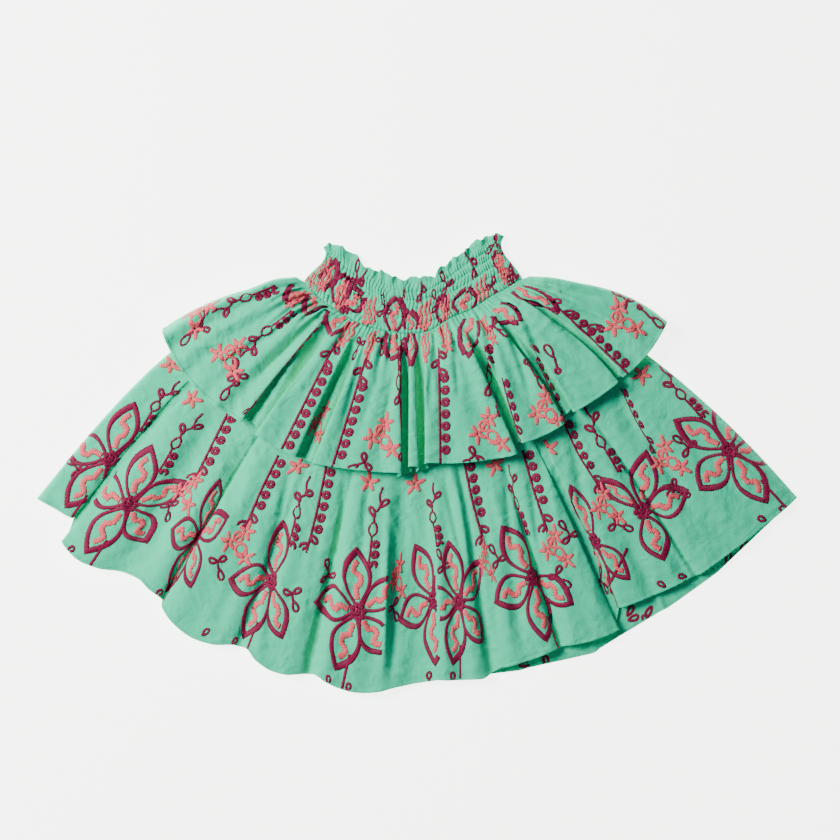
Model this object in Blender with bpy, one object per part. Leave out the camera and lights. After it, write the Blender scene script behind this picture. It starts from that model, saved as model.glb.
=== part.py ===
"""A two-tier gathered skirt on a shirred waistband, laid flat with its front up.

Six cut pieces make it: a shirred band, a short upper tier and a long lower tier, each with a front and a back.
Both tiers hang from the seam at the band's foot, the upper one outside the lower. The skirt lies on its back on
the plane z = 0, with the waist towards +Y and the wearer's right on the left. The origin is the middle of its
box, on that plane. Every size below is in millimetres.
"""

import math
from collections import namedtuple

import bmesh
import bpy
import numpy as np

MM = 0.001

# Cloth and seams
WALL = 1.0
SEAM_GAP = 0.5
BAND_WALL = 3.2
FRILL_WALL = 1.2

# Heights of the layers above the surface that the skirt lies on
UPPER_BACK_TROUGH = 0.8
LOWER_BACK_LIFT = 2.2
LOWER_BACK_TROUGH = 0.8
LOWER_BACK_HEM_TROUGH = 1.8
BAND_FRONT_FLOOR = 4.3
BAND_EDGE_DROP = 0.6
LOWER_SEAM_TOP = 5.4
LOWER_BED_TOP = 7.2
LOWER_HEM_BED_TOP = 5.0
LOWER_HIDDEN_SHARE = 0.3
UPPER_SEAM_TOP = 7.1
UPPER_BED_TOP = 15.0
EDGE_TOP_ON_FLOOR = 2.4
EDGE_TOP_ON_TIER = 4.6

# How the side edges of the tiers curve out from a straight line: how far, how much nearer the waist than the
# hem, and how far they puff up beside the band. The bow dies away towards the middle by its power.
EdgeCurve = namedtuple("EdgeCurve", "bow skew puff")
LEFT_EDGE = {"upper": EdgeCurve(14.0, 0, 6.5), "lower": EdgeCurve(35.0, 0.35, 3)}
RIGHT_EDGE = {"upper": EdgeCurve(17.5, -0.25, 3.5), "lower": EdgeCurve(23.0, 0.1, 2)}
BOW_POWER = 2.5

# The share of an end pleat's hem, and of the waist seam, that rolls down to the side edge
ROLLED_HEM = 0.07
ROLLED_SEAM = 0.007

# How uneven the crests and dips of a pleat are, what a crest loses by it, and the space beside its edges
CREST_UNEVEN = 0.25
CREST_LOSS = 0.08
EDGE_SPACE = 0.7
GATHER_HEIGHT = {"upper": 2.2, "lower": 0.7}
SPLINE_PULL = 0.85

# Gathers of the band: one for every two columns of its mesh
BAND_GATHERS = {"front": 54, "back": 36}
BAND_GATHER_DEPTH = 0.9
BAND_ENDS = 0.06
BAND_PINCH = 9.5
PINCH_PEAK = 4 / 27
FRILL_WAVES = 8.5
FRILL_START = 0.8
FRILL_DEPTH = 2.6
FRILL_SHARE = 0.26
FRILL_BACK_SHARE = 0.4

# A line of the waistband, from the waist seam to the edge of its frill, left to right
WaistLine = namedtuple("WaistLine", "seam_x seam_y frill_x frill_y")
WAIST_LINES = (
    WaistLine(-135, 218, -113, 258),
    WaistLine(-123, 203, -101, 264),
    WaistLine(-104, 188, -77, 250),
    WaistLine(-73, 169, -55, 233),
    WaistLine(-44, 160, -34, 226),
    WaistLine(-13, 155, -11, 221),
    WaistLine(13, 158, 14, 224),
    WaistLine(41, 174, 33, 236),
    WaistLine(65, 184, 54, 254),
    WaistLine(88, 199, 72, 265),
    WaistLine(108, 210, 89, 274),
    WaistLine(126, 221, 105, 272),
)

# A pleat of a tier: its share of the waist seam, its two corners on the hem, how far the hem bellies out between
# them, its height, the share of it that the two edges have, its soft dips and their depth, and the tuck after it.
# The tuck is how far the cloth runs back under the pleats on both sides, or a soft hollow where it is negative,
# and the drop is how much lower the hem is in it.
Pleat = namedtuple(
    "Pleat", "start end left_x left_y right_x right_y belly height shoulder dips dip tuck drop"
)
UPPER_FRONT = (
    Pleat(0.010, 0.180, -305, 161, -208, 50, 14, 12, 1.0, 4, 4.5, 5, -6),
    Pleat(0.235, 0.285, -192, 35, -144, 8, 2, 14, 1.0, 1, 4, 5, 0),
    Pleat(0.335, 0.450, -124, 0, -19, -12, 2, 14, 1.0, 2, 5, 4, 5),
    Pleat(0.490, 0.505, -10, -4, 2, -5, 0, 12, 1.0, 0, 0, 3, 6),
    Pleat(0.555, 0.690, 10, 0, 119, 11, 4, 15, 1.0, 2, 4, 5, -5),
    Pleat(0.735, 0.800, 124, 24, 176, 48, 3, 13, 1.0, 1, 4, 4, -4),
    Pleat(0.840, 0.900, 186, 61, 239, 96, 2, 11, 1.0, 1, 3, 2, -3),
    Pleat(0.930, 0.990, 245, 102, 299, 170, 5, 9, 1.0, 2, 3, 0, 0),
)
LOWER_FRONT = (
    Pleat(0.010, 0.060, -455.5, -42, -412, -66, 0, 6, 0.8, 0, 0, 1, -4),
    Pleat(0.085, 0.145, -425, -94, -380, -126, 6, 9, 0.6, 0, 0, -1, -3),
    Pleat(0.175, 0.210, -332, -139, -308, -160, 1, 9, 0.7, 0, 0, -1, -2),
    Pleat(0.225, 0.300, -305, -172, -222, -217, 15, 10, 0.6, 1, 3, -1, 0),
    Pleat(0.320, 0.382, -203, -222, -140, -252, 11, 11, 0.6, 1, 3, -1, 0),
    Pleat(0.400, 0.485, -121, -253, -30, -269, 12, 12, 0.7, 2, 3, -1, 0),
    Pleat(0.535, 0.592, 25, -259, 80, -257, 1, 11, 0.8, 1, 4, -1, 0),
    Pleat(0.611, 0.678, 100, -245, 167, -222, 2, 10, 0.6, 1, 3, -1, 0),
    Pleat(0.693, 0.746, 179, -218, 241, -199, 3, 10, 0.7, 1, 2, 1, -3),
    Pleat(0.775, 0.856, 243, -173, 328, -137, 2, 7, 0.7, 1, 2, -1, 0),
    Pleat(0.868, 0.990, 340, -132, 455.5, -41, 2, 7, 0.7, 2, 2, 0, 0),
)
UPPER_BACK = (
    Pleat(0.010, 0.100, -305, 161, -277, 109, 3, 1, 1.0, 0, 0, -1, 0),
    Pleat(0.120, 0.220, -270, 102, -215, 54, 3, 1, 1.0, 0, 0, -1, 0),
    Pleat(0.240, 0.340, -206, 49, -140, 16, 3, 1, 1.0, 0, 0, -1, 0),
    Pleat(0.360, 0.440, -130, 12, -56, -5, 2, 1, 1.0, 0, 0, -1, 0),
    Pleat(0.460, 0.550, -46, -6, 28, -6, 1, 1, 1.0, 0, 0, -1, 0),
    Pleat(0.570, 0.660, 38, -5, 106, 10, 2, 1, 1.0, 0, 0, -1, 0),
    Pleat(0.680, 0.770, 115, 14, 170, 46, 3, 1, 1.0, 0, 0, -1, 0),
    Pleat(0.790, 0.880, 178, 53, 232, 95, 3, 1, 1.0, 0, 0, -1, 0),
    Pleat(0.900, 0.990, 240, 102, 299, 170, 3, 1, 1.0, 0, 0, 0, 0),
)
LOWER_BACK = (
    Pleat(0.010, 0.085, -455.5, -42, -400, -70, 0, 1, 1.0, 0, 0, -1, 0),
    Pleat(0.105, 0.195, -389, -78, -325, -131, 2, 1, 1.0, 0, 0, -1, 0),
    Pleat(0.215, 0.310, -315, -138, -242, -198, 3, 1, 1.0, 0, 0, -1, 0),
    Pleat(0.325, 0.400, -232, -203, -152, -234, 3, 1, 1.0, 0, 0, -1, 0),
    Pleat(0.410, 0.480, -140, -238, -56, -250, 2, 1, 1.0, 0, 0, -1, 0),
    Pleat(0.495, 0.570, -43, -252, 46, -254, 1, 1, 1.0, 0, 0, -1, 0),
    Pleat(0.580, 0.640, 59, -256, 122, -249, 0, 1, 1.0, 0, 0, -1, 0),
    Pleat(0.650, 0.720, 132, -246, 208, -229, 1, 1, 1.0, 0, 0, -1, 1),
    Pleat(0.735, 0.800, 220, -222, 292, -178, -2, 1, 1.0, 0, 0, -1, 0),
    Pleat(0.815, 0.885, 302, -173, 358, -133, 7, 1, 1.0, 0, 0, -1, 0),
    Pleat(0.900, 0.990, 368, -124, 455.5, -41, -1, 1, 1.0, 0, 0, 0, 0),
)

# Where the rings of each mesh lie, as shares of the way down from the seam
UPPER_RINGS = (0, 0.05, 0.12, 0.22, 0.38, 0.58, 0.8, 1)
LOWER_RINGS = (0, 0.05, 0.14, 0.28, 0.42, 0.54, 0.66, 0.78, 0.9, 1)
BACK_RINGS = (0, 0.12, 0.3, 0.44, 0.6, 0.8, 1)
UPPER_BACK_RINGS = (0, 0.2, 0.5, 0.75, 1)
BAND_RINGS = (0, 0.25, 0.5, 1 - FRILL_SHARE, 0.88, 1)

# The finishes: sRGB colour, roughness
COTTON = ((0.48, 0.86, 0.74), 0.75)
SHIRRED_COTTON = ((0.44, 0.82, 0.70), 0.8)

FoldLine = namedtuple("FoldLine", "seam hem_x hem_y rise gathers is_edge")


def smooth_step(low, high, value):
    """0 below low, 1 above high, and a smooth rise between them."""
    share = np.clip((value - low) / (high - low), 0, 1)
    return share * share * (3 - 2 * share)


def spline(points, places):
    """A smooth curve through the rows of points, at places counted in rows, that never swings past them."""
    points = np.asarray(points, float)
    places = np.asarray(places, float)
    steps = np.diff(points, axis=0)
    across = np.concatenate([steps[:1], points[2:] - points[:-2], steps[-1:]])
    across /= np.maximum(np.linalg.norm(across, axis=1), 1e-9)[:, None]
    first = np.clip(np.floor(places).astype(int), 0, len(points) - 2)
    share = (places - first)[:, None]
    pull = np.linalg.norm(steps[first], axis=1)[:, None] * SPLINE_PULL
    square, cube = share**2, share**3
    return (
        points[first] * (2 * cube - 3 * square + 1)
        + across[first] * pull * (cube - 2 * square + share)
        + points[first + 1] * (3 * square - 2 * cube)
        + across[first + 1] * pull * (cube - square)
    )


def waist_curve(columns, shares):
    """Points at these shares of a waist curve's places: columns name its two columns in WAIST_LINES."""
    rows = [[getattr(line, column) for column in columns] for line in WAIST_LINES]
    return spline(rows, np.asarray(shares, float) * (len(rows) - 1))


def seam_by_length(shares):
    """Points at these shares of the waist seam's length, and its normals away from the band."""
    fine = np.linspace(0, 1, 400)
    curve = waist_curve(("seam_x", "seam_y"), fine)
    steps = np.linalg.norm(np.diff(curve, axis=0), axis=1)
    length = np.concatenate([[0], np.cumsum(steps)]) / steps.sum()
    places = np.interp(shares, length, fine)
    points = waist_curve(("seam_x", "seam_y"), places)
    slope = np.gradient(curve, axis=0)
    along = np.stack([np.interp(places, fine, slope[:, axis]) for axis in (0, 1)], axis=1)
    along /= np.linalg.norm(along, axis=1)[:, None]
    return points, np.stack([along[:, 1], -along[:, 0]], axis=1)


def hem_point(pleat, share):
    """A point of a pleat's hem, share of the way from its left corner to its right one."""
    left = np.array([pleat.left_x, pleat.left_y], float)
    right = np.array([pleat.right_x, pleat.right_y], float)
    chord = right - left
    outward = np.array([chord[1], -chord[0]]) / np.linalg.norm(chord)
    return left + chord * share + outward * pleat.belly * 4 * share * (1 - share)


def pleat_lines(pleat, number):
    """The edges, crests and dips of one pleat, uneven in depth from one to the next."""
    places = [index / (2 * pleat.dips) for index in range(2 * pleat.dips + 1)] if pleat.dips else [0, 1]
    if pleat.shoulder < 1:
        inner = 2 * pleat.dips + 1
        span = inner - 1 + 2 * EDGE_SPACE
        places = [0] + [(index + EDGE_SPACE) / span for index in range(inner)] + [1]
    first_crest = 1 if pleat.shoulder < 1 else 0
    lines = []
    for index, share in enumerate(places):
        seam = pleat.start + (pleat.end - pleat.start) * share
        uneven = 1 + CREST_UNEVEN * math.sin(2.1 * index + 1.7 * number)
        inside = 0 < index < len(places) - 1
        rise = pleat.height * (1 - CREST_LOSS * uneven)
        if not inside:
            rise *= pleat.shoulder
        elif (index - first_crest) % 2:
            rise = pleat.height - pleat.dip * uneven
        lines.append(FoldLine(seam, *hem_point(pleat, share), rise, float(inside), False))
    return lines


def tuck_lines(pleat, after):
    """The one or two lines at the foot of the tuck or the hollow between a pleat and the one after it."""
    here, there = hem_point(pleat, 1), hem_point(after, 0)
    along = hem_point(after, 1) - hem_point(pleat, 0)
    along /= np.linalg.norm(along)
    outward = np.array([along[1], -along[0]])
    if pleat.tuck < 0:
        middle = (here + there) / 2 + outward * pleat.drop
        return [FoldLine((pleat.end + after.start) / 2, *middle, 0, 0, False)]
    gap = after.start - pleat.end
    left = here - along * pleat.tuck + outward * pleat.drop
    right = there + along * pleat.tuck + outward * pleat.drop
    return [
        FoldLine(pleat.end + gap / 3, *left, 0, 0, False),
        FoldLine(after.start - gap / 3, *right, 0, 0, False),
    ]


def fold_lines(pleats):
    """Every fold line of a tier, from its left edge to its right one, with the edges rolled down."""
    first, last = pleats[0], pleats[-1]
    inset = hem_point(first, ROLLED_HEM)
    end_inset = hem_point(last, 1 - ROLLED_HEM)
    inner = list(pleats)
    inner[0] = first._replace(left_x=inset[0], left_y=inset[1])
    inner[-1] = last._replace(right_x=end_inset[0], right_y=end_inset[1])
    lines = [FoldLine(first.start - ROLLED_SEAM, first.left_x, first.left_y, 0, 0, True)]
    for number, pleat in enumerate(inner):
        lines += pleat_lines(pleat, number)
        if number < len(inner) - 1:
            lines += tuck_lines(pleat, inner[number + 1])
    lines.append(FoldLine(last.end + ROLLED_SEAM, last.right_x, last.right_y, 0, 0, True))
    return lines


def seam_run(seams):
    """The edge of a tier at the waist seam, clear of the band, at these shares of the seam's length."""
    points, normals = seam_by_length(seams)
    return points + normals * SEAM_GAP


def edge_bow(curve, share):
    """How far a side edge stands out from a straight line at this share of the way to the hem."""
    bow = curve.bow * 4 * share * (1 - share) * (1 - curve.skew * (2 * share - 1))
    return bow + curve.puff * smooth_step(0, 0.05, share) * (1 - smooth_step(0.15, 0.4, share))


def run_of(lines, tier, share):
    """Where each fold line is, seen from above, at this share of its way from the waist seam to the hem."""
    start = seam_run([line.seam for line in lines])
    hem = np.array([[line.hem_x, line.hem_y] for line in lines])
    way = hem - start
    side = np.array([2 * line.seam - 1 for line in lines])
    left, right = edge_bow(LEFT_EDGE[tier], share), edge_bow(RIGHT_EDGE[tier], share)
    bow = np.where(side < 0, left, -right) * np.abs(side) ** BOW_POWER
    across = np.stack([way[:, 1], -way[:, 0]], axis=1) / np.linalg.norm(way, axis=1)[:, None]
    return start + way * share + across * bow[:, None]


def front_top(lines, tier, share):
    """The height of each fold line's upper face, for a front tier."""
    rise = np.array([line.rise for line in lines])
    edge = np.array([line.is_edge for line in lines])
    if tier == "upper":
        bed = UPPER_SEAM_TOP + (UPPER_BED_TOP - UPPER_SEAM_TOP) * smooth_step(0, 0.16, share)
        grown = smooth_step(0.02, 0.34, share)
        edge_top = UPPER_SEAM_TOP + (EDGE_TOP_ON_FLOOR - UPPER_SEAM_TOP) * smooth_step(0, 0.3, share)
    else:
        bed = LOWER_SEAM_TOP + (LOWER_BED_TOP - LOWER_SEAM_TOP) * smooth_step(0, 0.1, share)
        bed += (LOWER_HEM_BED_TOP - LOWER_BED_TOP) * smooth_step(0.5, 0.75, share)
        hidden = LOWER_HIDDEN_SHARE * smooth_step(0.02, 0.12, share)
        grown = hidden + (1 - LOWER_HIDDEN_SHARE) * smooth_step(0.44, 0.72, share)
        edge_top = LOWER_SEAM_TOP + (EDGE_TOP_ON_TIER - LOWER_SEAM_TOP) * smooth_step(0, 0.15, share)
        edge_top += (EDGE_TOP_ON_FLOOR - EDGE_TOP_ON_TIER) * smooth_step(0.48, 0.62, share)
    return np.where(edge, edge_top, bed + rise * grown)


def back_foot(lines, tier, share):
    """The height of each fold line's lower face, for a back tier: pleats pressed flat, with raised lines between."""
    raised = np.array([line.rise == 0 and not line.is_edge for line in lines], float)
    grown = smooth_step(0.05, 0.3, share)
    if tier == "upper":
        return UPPER_BACK_TROUGH * raised * grown
    on_floor = smooth_step(0.47, 0.6, share)
    trough = LOWER_BACK_TROUGH + (LOWER_BACK_HEM_TROUGH - LOWER_BACK_TROUGH) * on_floor
    return LOWER_BACK_LIFT * (1 - on_floor) + trough * raised * grown


def gather_wave(tier, share):
    """How high the small gathers under the waist seam stand at this share of the way down."""
    return GATHER_HEIGHT[tier] * smooth_step(0, 0.1, share) * (1 - smooth_step(0.18, 0.5, share))


def tier_grid(pleats, tier, rings, height_of, gather):
    """The outer face of a tier's front or back, as rows of points from the waist seam to the hem."""
    lines = fold_lines(pleats)
    places = np.linspace(0, len(lines) - 1, 2 * len(lines) - 1)
    seams = np.interp(places, np.arange(len(lines)), [line.seam for line in lines])
    zigzag = np.where(np.arange(len(places)) % 2 == 0, -1.0, 1.0)
    zigzag *= np.interp(places, np.arange(len(lines)), [line.gathers for line in lines])
    rows = []
    for share in rings:
        plan = run_of(lines, tier, share)
        points = spline(np.column_stack([plan, height_of(lines, tier, share)]), places)
        if share == 0:
            points[:, :2] = seam_run(seams)
        points[:, 2] += zigzag * gather * gather_wave(tier, share)
        points[:, 2] = np.maximum(points[:, 2], 0)
        rows.append(points)
    return np.array(rows)


def band_plan(share_up, places):
    """The waistband seen from above, at this share of the way from the waist seam to the frill's edge."""
    seam = waist_curve(("seam_x", "seam_y"), places)
    frill = waist_curve(("frill_x", "frill_y"), places)
    plan = seam + (frill - seam) * share_up
    side = 2 * places - 1
    pinch = BAND_PINCH * share_up**2 * (1 - share_up) / PINCH_PEAK
    plan[:, 0] -= pinch * np.sign(side) * np.abs(side) ** 5
    return plan


def band_faces(is_front):
    """The gathered outer face and the plain inner face of the band, as rows of points up from the waist seam."""
    columns = 2 * BAND_GATHERS["front" if is_front else "back"] + 1
    places = np.linspace(0, 1, columns)
    zigzag = np.where(np.arange(columns) % 2 == 0, 0.0, 1.0)
    ends = smooth_step(0, BAND_ENDS, np.minimum(places, 1 - places))
    outer, inner = [], []
    for share_up in BAND_RINGS:
        frill = smooth_step(1 - FRILL_SHARE, 1, share_up)
        wall = BAND_WALL + (FRILL_WALL - BAND_WALL) * frill
        wave = FRILL_DEPTH * frill * (1 + np.sin(2 * math.pi * FRILL_WAVES * places + FRILL_START)) / 2
        gathers = BAND_GATHER_DEPTH * (1 - frill) * zigzag * ends
        plan = band_plan(share_up, places)
        if is_front:
            floor = BAND_FRONT_FLOOR - BAND_EDGE_DROP * (1 - ends) + wave * ends
            outer.append(np.column_stack([plan, floor + wall + gathers]))
            inner.append(np.column_stack([plan, floor]))
        else:
            foot = wave[::-1] * FRILL_BACK_SHARE * ends
            outer.append(np.column_stack([plan, foot + gathers]))
            inner.append(np.column_stack([plan, foot + (wall + BAND_WALL) / 2]))
    return np.array(outer), np.array(inner)


def principled(name, colour, roughness):
    """A material of the cloth's colour, given in sRGB, and roughness."""
    material = bpy.data.materials.new(name)
    material.use_nodes = True
    shader = material.node_tree.nodes["Principled BSDF"]
    linear = [part / 12.92 if part <= 0.04045 else ((part + 0.055) / 1.055) ** 2.4 for part in colour]
    shader.inputs["Base Color"].default_value = (*linear, 1)
    shader.inputs["Roughness"].default_value = roughness
    shader.inputs["Metallic"].default_value = 0
    return material


def sheet_mesh(name, grid, faces_up):
    """A grid of faces bent to these rows of points, with its faces up or down."""
    rows, columns = grid.shape[:2]
    sheet = bmesh.new()
    bmesh.ops.create_grid(sheet, x_segments=columns - 1, y_segments=rows - 1, size=1)
    for vertex in sheet.verts:
        column = round((vertex.co.x + 1) / 2 * (columns - 1))
        row = round((vertex.co.y + 1) / 2 * (rows - 1))
        vertex.co = grid[row, column] * MM
    sheet.normal_update()
    up = sum(face.normal.z * face.calc_area() for face in sheet.faces) > 0
    if up != faces_up:
        bmesh.ops.reverse_faces(sheet, faces=sheet.faces)
    mesh = bpy.data.meshes.new(name)
    sheet.to_mesh(mesh)
    sheet.free()
    return mesh


def add_object(name, mesh, finish):
    """An object of this mesh in the scene, smooth but for its sharp edges."""
    mesh.shade_smooth()
    mesh.set_sharp_from_angle(angle=math.radians(50))
    mesh.materials.append(principled(name, *finish))
    thing = bpy.data.objects.new(name, mesh)
    bpy.context.scene.collection.objects.link(thing)
    return thing


def tier_panel(name, grid, faces_up):
    """A tier's front or back: its outer face, given a wall on the inside."""
    panel = add_object(name, sheet_mesh(name, grid, faces_up), COTTON)
    wall = panel.modifiers.new("wall", "SOLIDIFY")
    wall.thickness = WALL * MM
    wall.offset = -1
    wall.use_even_offset = False
    return panel


def band_panel(name, is_front):
    """A side of the shirred band: its gathered outer face joined at the rim to a plain inner one."""
    outer, inner = band_faces(is_front)
    rows, columns = outer.shape[:2]
    points = np.concatenate([outer.reshape(-1, 3), inner.reshape(-1, 3)]) * MM
    shell = bmesh.new()
    corners = [shell.verts.new(point) for point in points]
    half = rows * columns

    def quad(*indices):
        shell.faces.new([corners[index] for index in indices])

    for row in range(rows - 1):
        for column in range(columns - 1):
            here = row * columns + column
            quad(here, here + 1, here + columns + 1, here + columns)
            quad(half + here, half + here + columns, half + here + columns + 1, half + here + 1)
    for column in range(columns - 1):
        top = (rows - 1) * columns + column
        quad(column, half + column, half + column + 1, column + 1)
        quad(top, top + 1, half + top + 1, half + top)
    for row in range(rows - 1):
        left, right = row * columns, row * columns + columns - 1
        quad(left, left + columns, half + left + columns, half + left)
        quad(right, half + right, half + right + columns, right + columns)
    bmesh.ops.recalc_face_normals(shell, faces=shell.faces)
    mesh = bpy.data.meshes.new(name)
    shell.to_mesh(mesh)
    shell.free()
    return add_object(name, mesh, SHIRRED_COTTON)


def main():
    for thing in list(bpy.data.objects):
        bpy.data.objects.remove(thing)
    band_panel("waistband_front", True)
    band_panel("waistband_back", False)
    tier_panel("upper_tier_front", tier_grid(UPPER_FRONT, "upper", UPPER_RINGS, front_top, 1), True)
    tier_panel("lower_tier_front", tier_grid(LOWER_FRONT, "lower", LOWER_RINGS, front_top, 1), True)
    tier_panel("upper_tier_back", tier_grid(UPPER_BACK, "upper", UPPER_BACK_RINGS, back_foot, 0), False)
    tier_panel("lower_tier_back", tier_grid(LOWER_BACK, "lower", BACK_RINGS, back_foot, 0), False)


main()
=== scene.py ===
"""Dresses the two-tier skirt: cotton shells on its solids, hems, shirring and embroidery, on a pale floor.

The tables repeat the skirt's own fold lines in millimetres. A finer cloth is hung on them, and the
embroidery is drawn flat, in millimetres of cloth, and then laid on that cloth. Meshes are in metres.
"""

import math
from collections import namedtuple

import bmesh
import bpy
import numpy as np
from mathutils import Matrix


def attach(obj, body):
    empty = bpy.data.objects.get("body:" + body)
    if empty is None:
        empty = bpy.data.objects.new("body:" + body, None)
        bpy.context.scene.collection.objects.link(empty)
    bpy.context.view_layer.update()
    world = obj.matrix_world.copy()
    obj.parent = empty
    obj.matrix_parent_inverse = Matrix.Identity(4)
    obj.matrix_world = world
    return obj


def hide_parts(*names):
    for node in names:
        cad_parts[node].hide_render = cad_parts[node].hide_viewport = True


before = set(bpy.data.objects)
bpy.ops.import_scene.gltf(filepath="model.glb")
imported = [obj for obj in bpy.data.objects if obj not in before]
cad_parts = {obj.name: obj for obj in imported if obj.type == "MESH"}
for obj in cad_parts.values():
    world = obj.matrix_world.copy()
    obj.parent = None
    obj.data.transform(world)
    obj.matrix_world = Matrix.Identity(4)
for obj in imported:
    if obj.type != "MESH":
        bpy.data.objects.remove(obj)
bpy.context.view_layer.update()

bl_info = {
    "name": "Tiered skirt finish",
    "version": (1, 0, 0),
    "blender": (4, 5, 0),
    "location": "View3D > Sidebar > Skirt",
    "description": "Cotton, hems, shirring and embroidery for a two-tier skirt laid flat",
    "category": "Object",
}

MM = 0.001

# The skirt's own sizes
SEAM_GAP = 0.15
BAND_FRONT_FLOOR = 4.3
BAND_EDGE_DROP = 0.6
BAND_WALL = 3.2
LOWER_SEAM_TOP = 5.4
LOWER_BED_TOP = 7.2
LOWER_HEM_BED_TOP = 5.0
LOWER_HIDDEN_SHARE = 0.3
UPPER_SEAM_TOP = 7.1
UPPER_BED_TOP = 15.0
EDGE_TOP_ON_FLOOR = 2.2
EDGE_TOP_ON_TIER = 4.6
UPPER_BACK_TROUGH = 0.8
LOWER_BACK_LIFT = 2.2
LOWER_BACK_TROUGH = 0.8
LOWER_BACK_HEM_TROUGH = 1.8
BACK_CLEARANCE = 0.45
SPLINE_PULL = 0.85
BAND_PINCH = 9.5
PINCH_PEAK = 4 / 27
BAND_GATHER = 1.8
SHIRRING_ROWS = 5
FRILL_SHARE = 0.26
FRILL_DEPTH = 2.6
FRILL_WAVES = 8.5
WRINKLE = 0.6
PLEAT_TOP = 26.0
SEAM_GATHERS = 58

EdgeCurve = namedtuple("EdgeCurve", "bow skew puff")
LEFT_EDGE = {"upper": EdgeCurve(14.0, 0, 6.5), "lower": EdgeCurve(35.0, 0.35, 3)}
RIGHT_EDGE = {"upper": EdgeCurve(17.5, -0.25, 3.5), "lower": EdgeCurve(23.0, 0.1, 2)}
BOW_POWER = 2.5
ROLLED_HEM = 0.07
ROLLED_SEAM = 0.007
CREST_UNEVEN = 0.25
CREST_LOSS = 0.08
EDGE_SPACE = 0.7


def rows_of(kind, *rows):
    """The rows of a table, with their columns named."""
    return tuple(kind(*row) for row in rows)


# A line of the waistband, from the waist seam to the edge of its frill, left to right
WaistLine = namedtuple("WaistLine", "seam_x seam_y frill_x frill_y")
WAIST_LINES = rows_of(
    WaistLine,
    (-135, 218, -113, 258), (-123, 203, -101, 264), (-104, 188, -77, 250), (-73, 169, -55, 233),
    (-44, 160, -34, 226), (-13, 155, -11, 221), (13, 158, 14, 224), (41, 174, 33, 236), (65, 184, 54, 254),
    (88, 199, 72, 265), (108, 210, 89, 274), (126, 221, 105, 272),
)

# A pleat of a tier: its share of the waist seam, its two corners on the hem, how far the hem bellies out
# between them, its height, the share of it that the two edges have, its soft dips and their depth, and the
# tuck after it. The tuck is how far the cloth runs back under the pleats on both sides, or a soft hollow
# where it is negative, and the drop is how much lower the hem is in it. The last six are those of a back.
Pleat = namedtuple(
    "Pleat", "start end left_x left_y right_x right_y belly height shoulder dips dip tuck drop",
    defaults=(1, 1, 0, 0, -1, 0),
)
UPPER_FRONT = rows_of(
    Pleat,
    (0.01, 0.18, -305, 161, -208, 50, 14, 12, 1, 4, 4.5, 5, -6),
    (0.235, 0.285, -192, 35, -144, 8, 2, 14, 1, 1, 4, 5, 0),
    (0.335, 0.45, -124, 0, -19, -12, 2, 14, 1, 2, 5, 4, 5),
    (0.49, 0.505, -10, -4, 2, -5, 0, 12, 1, 0, 0, 3, 6),
    (0.555, 0.69, 10, 0, 119, 11, 4, 15, 1, 2, 4, 5, -5),
    (0.735, 0.8, 124, 24, 176, 48, 3, 13, 1, 1, 4, 4, -4),
    (0.84, 0.9, 186, 61, 239, 96, 2, 11, 1, 1, 3, 2, -3),
    (0.93, 0.99, 245, 102, 299, 170, 5, 9, 1, 2, 3, 0, 0),
)
LOWER_FRONT = rows_of(
    Pleat,
    (0.01, 0.06, -455.5, -42, -412, -66, 0, 6, 0.8, 0, 0, 1, -4),
    (0.085, 0.145, -425, -94, -380, -126, 6, 9, 0.6, 0, 0, -1, -3),
    (0.175, 0.21, -332, -139, -308, -160, 1, 9, 0.7, 0, 0, -1, -2),
    (0.225, 0.3, -305, -172, -222, -217, 15, 10, 0.6, 1, 3, -1, 0),
    (0.32, 0.382, -203, -222, -140, -252, 11, 11, 0.6, 1, 3, -1, 0),
    (0.4, 0.485, -121, -253, -30, -269, 12, 12, 0.7, 2, 3, -1, 0),
    (0.535, 0.592, 25, -259, 80, -257, 1, 11, 0.8, 1, 4, -1, 0),
    (0.611, 0.678, 100, -245, 167, -222, 2, 10, 0.6, 1, 3, -1, 0),
    (0.693, 0.746, 179, -218, 241, -199, 3, 10, 0.7, 1, 2, 1, -3),
    (0.775, 0.856, 243, -173, 328, -137, 2, 7, 0.7, 1, 2, -1, 0),
    (0.868, 0.99, 340, -132, 455.5, -41, 2, 7, 0.7, 2, 2, 0, 0),
)
UPPER_BACK = rows_of(
    Pleat,
    (0.01, 0.1, -305, 161, -277, 109, 3), (0.12, 0.22, -270, 102, -215, 54, 3),
    (0.24, 0.34, -206, 49, -140, 16, 3), (0.36, 0.44, -130, 12, -56, -5, 2),
    (0.46, 0.55, -46, -6, 28, -6, 1), (0.57, 0.66, 38, -5, 106, 10, 2), (0.68, 0.77, 115, 14, 170, 46, 3),
    (0.79, 0.88, 178, 53, 232, 95, 3), (0.9, 0.99, 240, 102, 299, 170, 3),
)
LOWER_BACK = rows_of(
    Pleat,
    (0.01, 0.085, -455.5, -42, -400, -70, 0), (0.105, 0.195, -389, -78, -325, -131, 2),
    (0.215, 0.31, -315, -138, -242, -198, 3), (0.325, 0.4, -232, -203, -152, -234, 3),
    (0.41, 0.48, -140, -238, -56, -250, 2), (0.495, 0.57, -43, -252, 46, -254, 1),
    (0.58, 0.64, 59, -256, 122, -249, 0), (0.65, 0.72, 132, -246, 208, -229, 1, 1, 1, 0, 0, -1, 1),
    (0.735, 0.8, 220, -222, 292, -178, -2), (0.815, 0.885, 302, -173, 358, -133, 7),
    (0.9, 0.99, 368, -124, 455.5, -41, -1),
)

FoldLine = namedtuple("FoldLine", "seam hem_x hem_y rise gathers is_edge")

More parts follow.
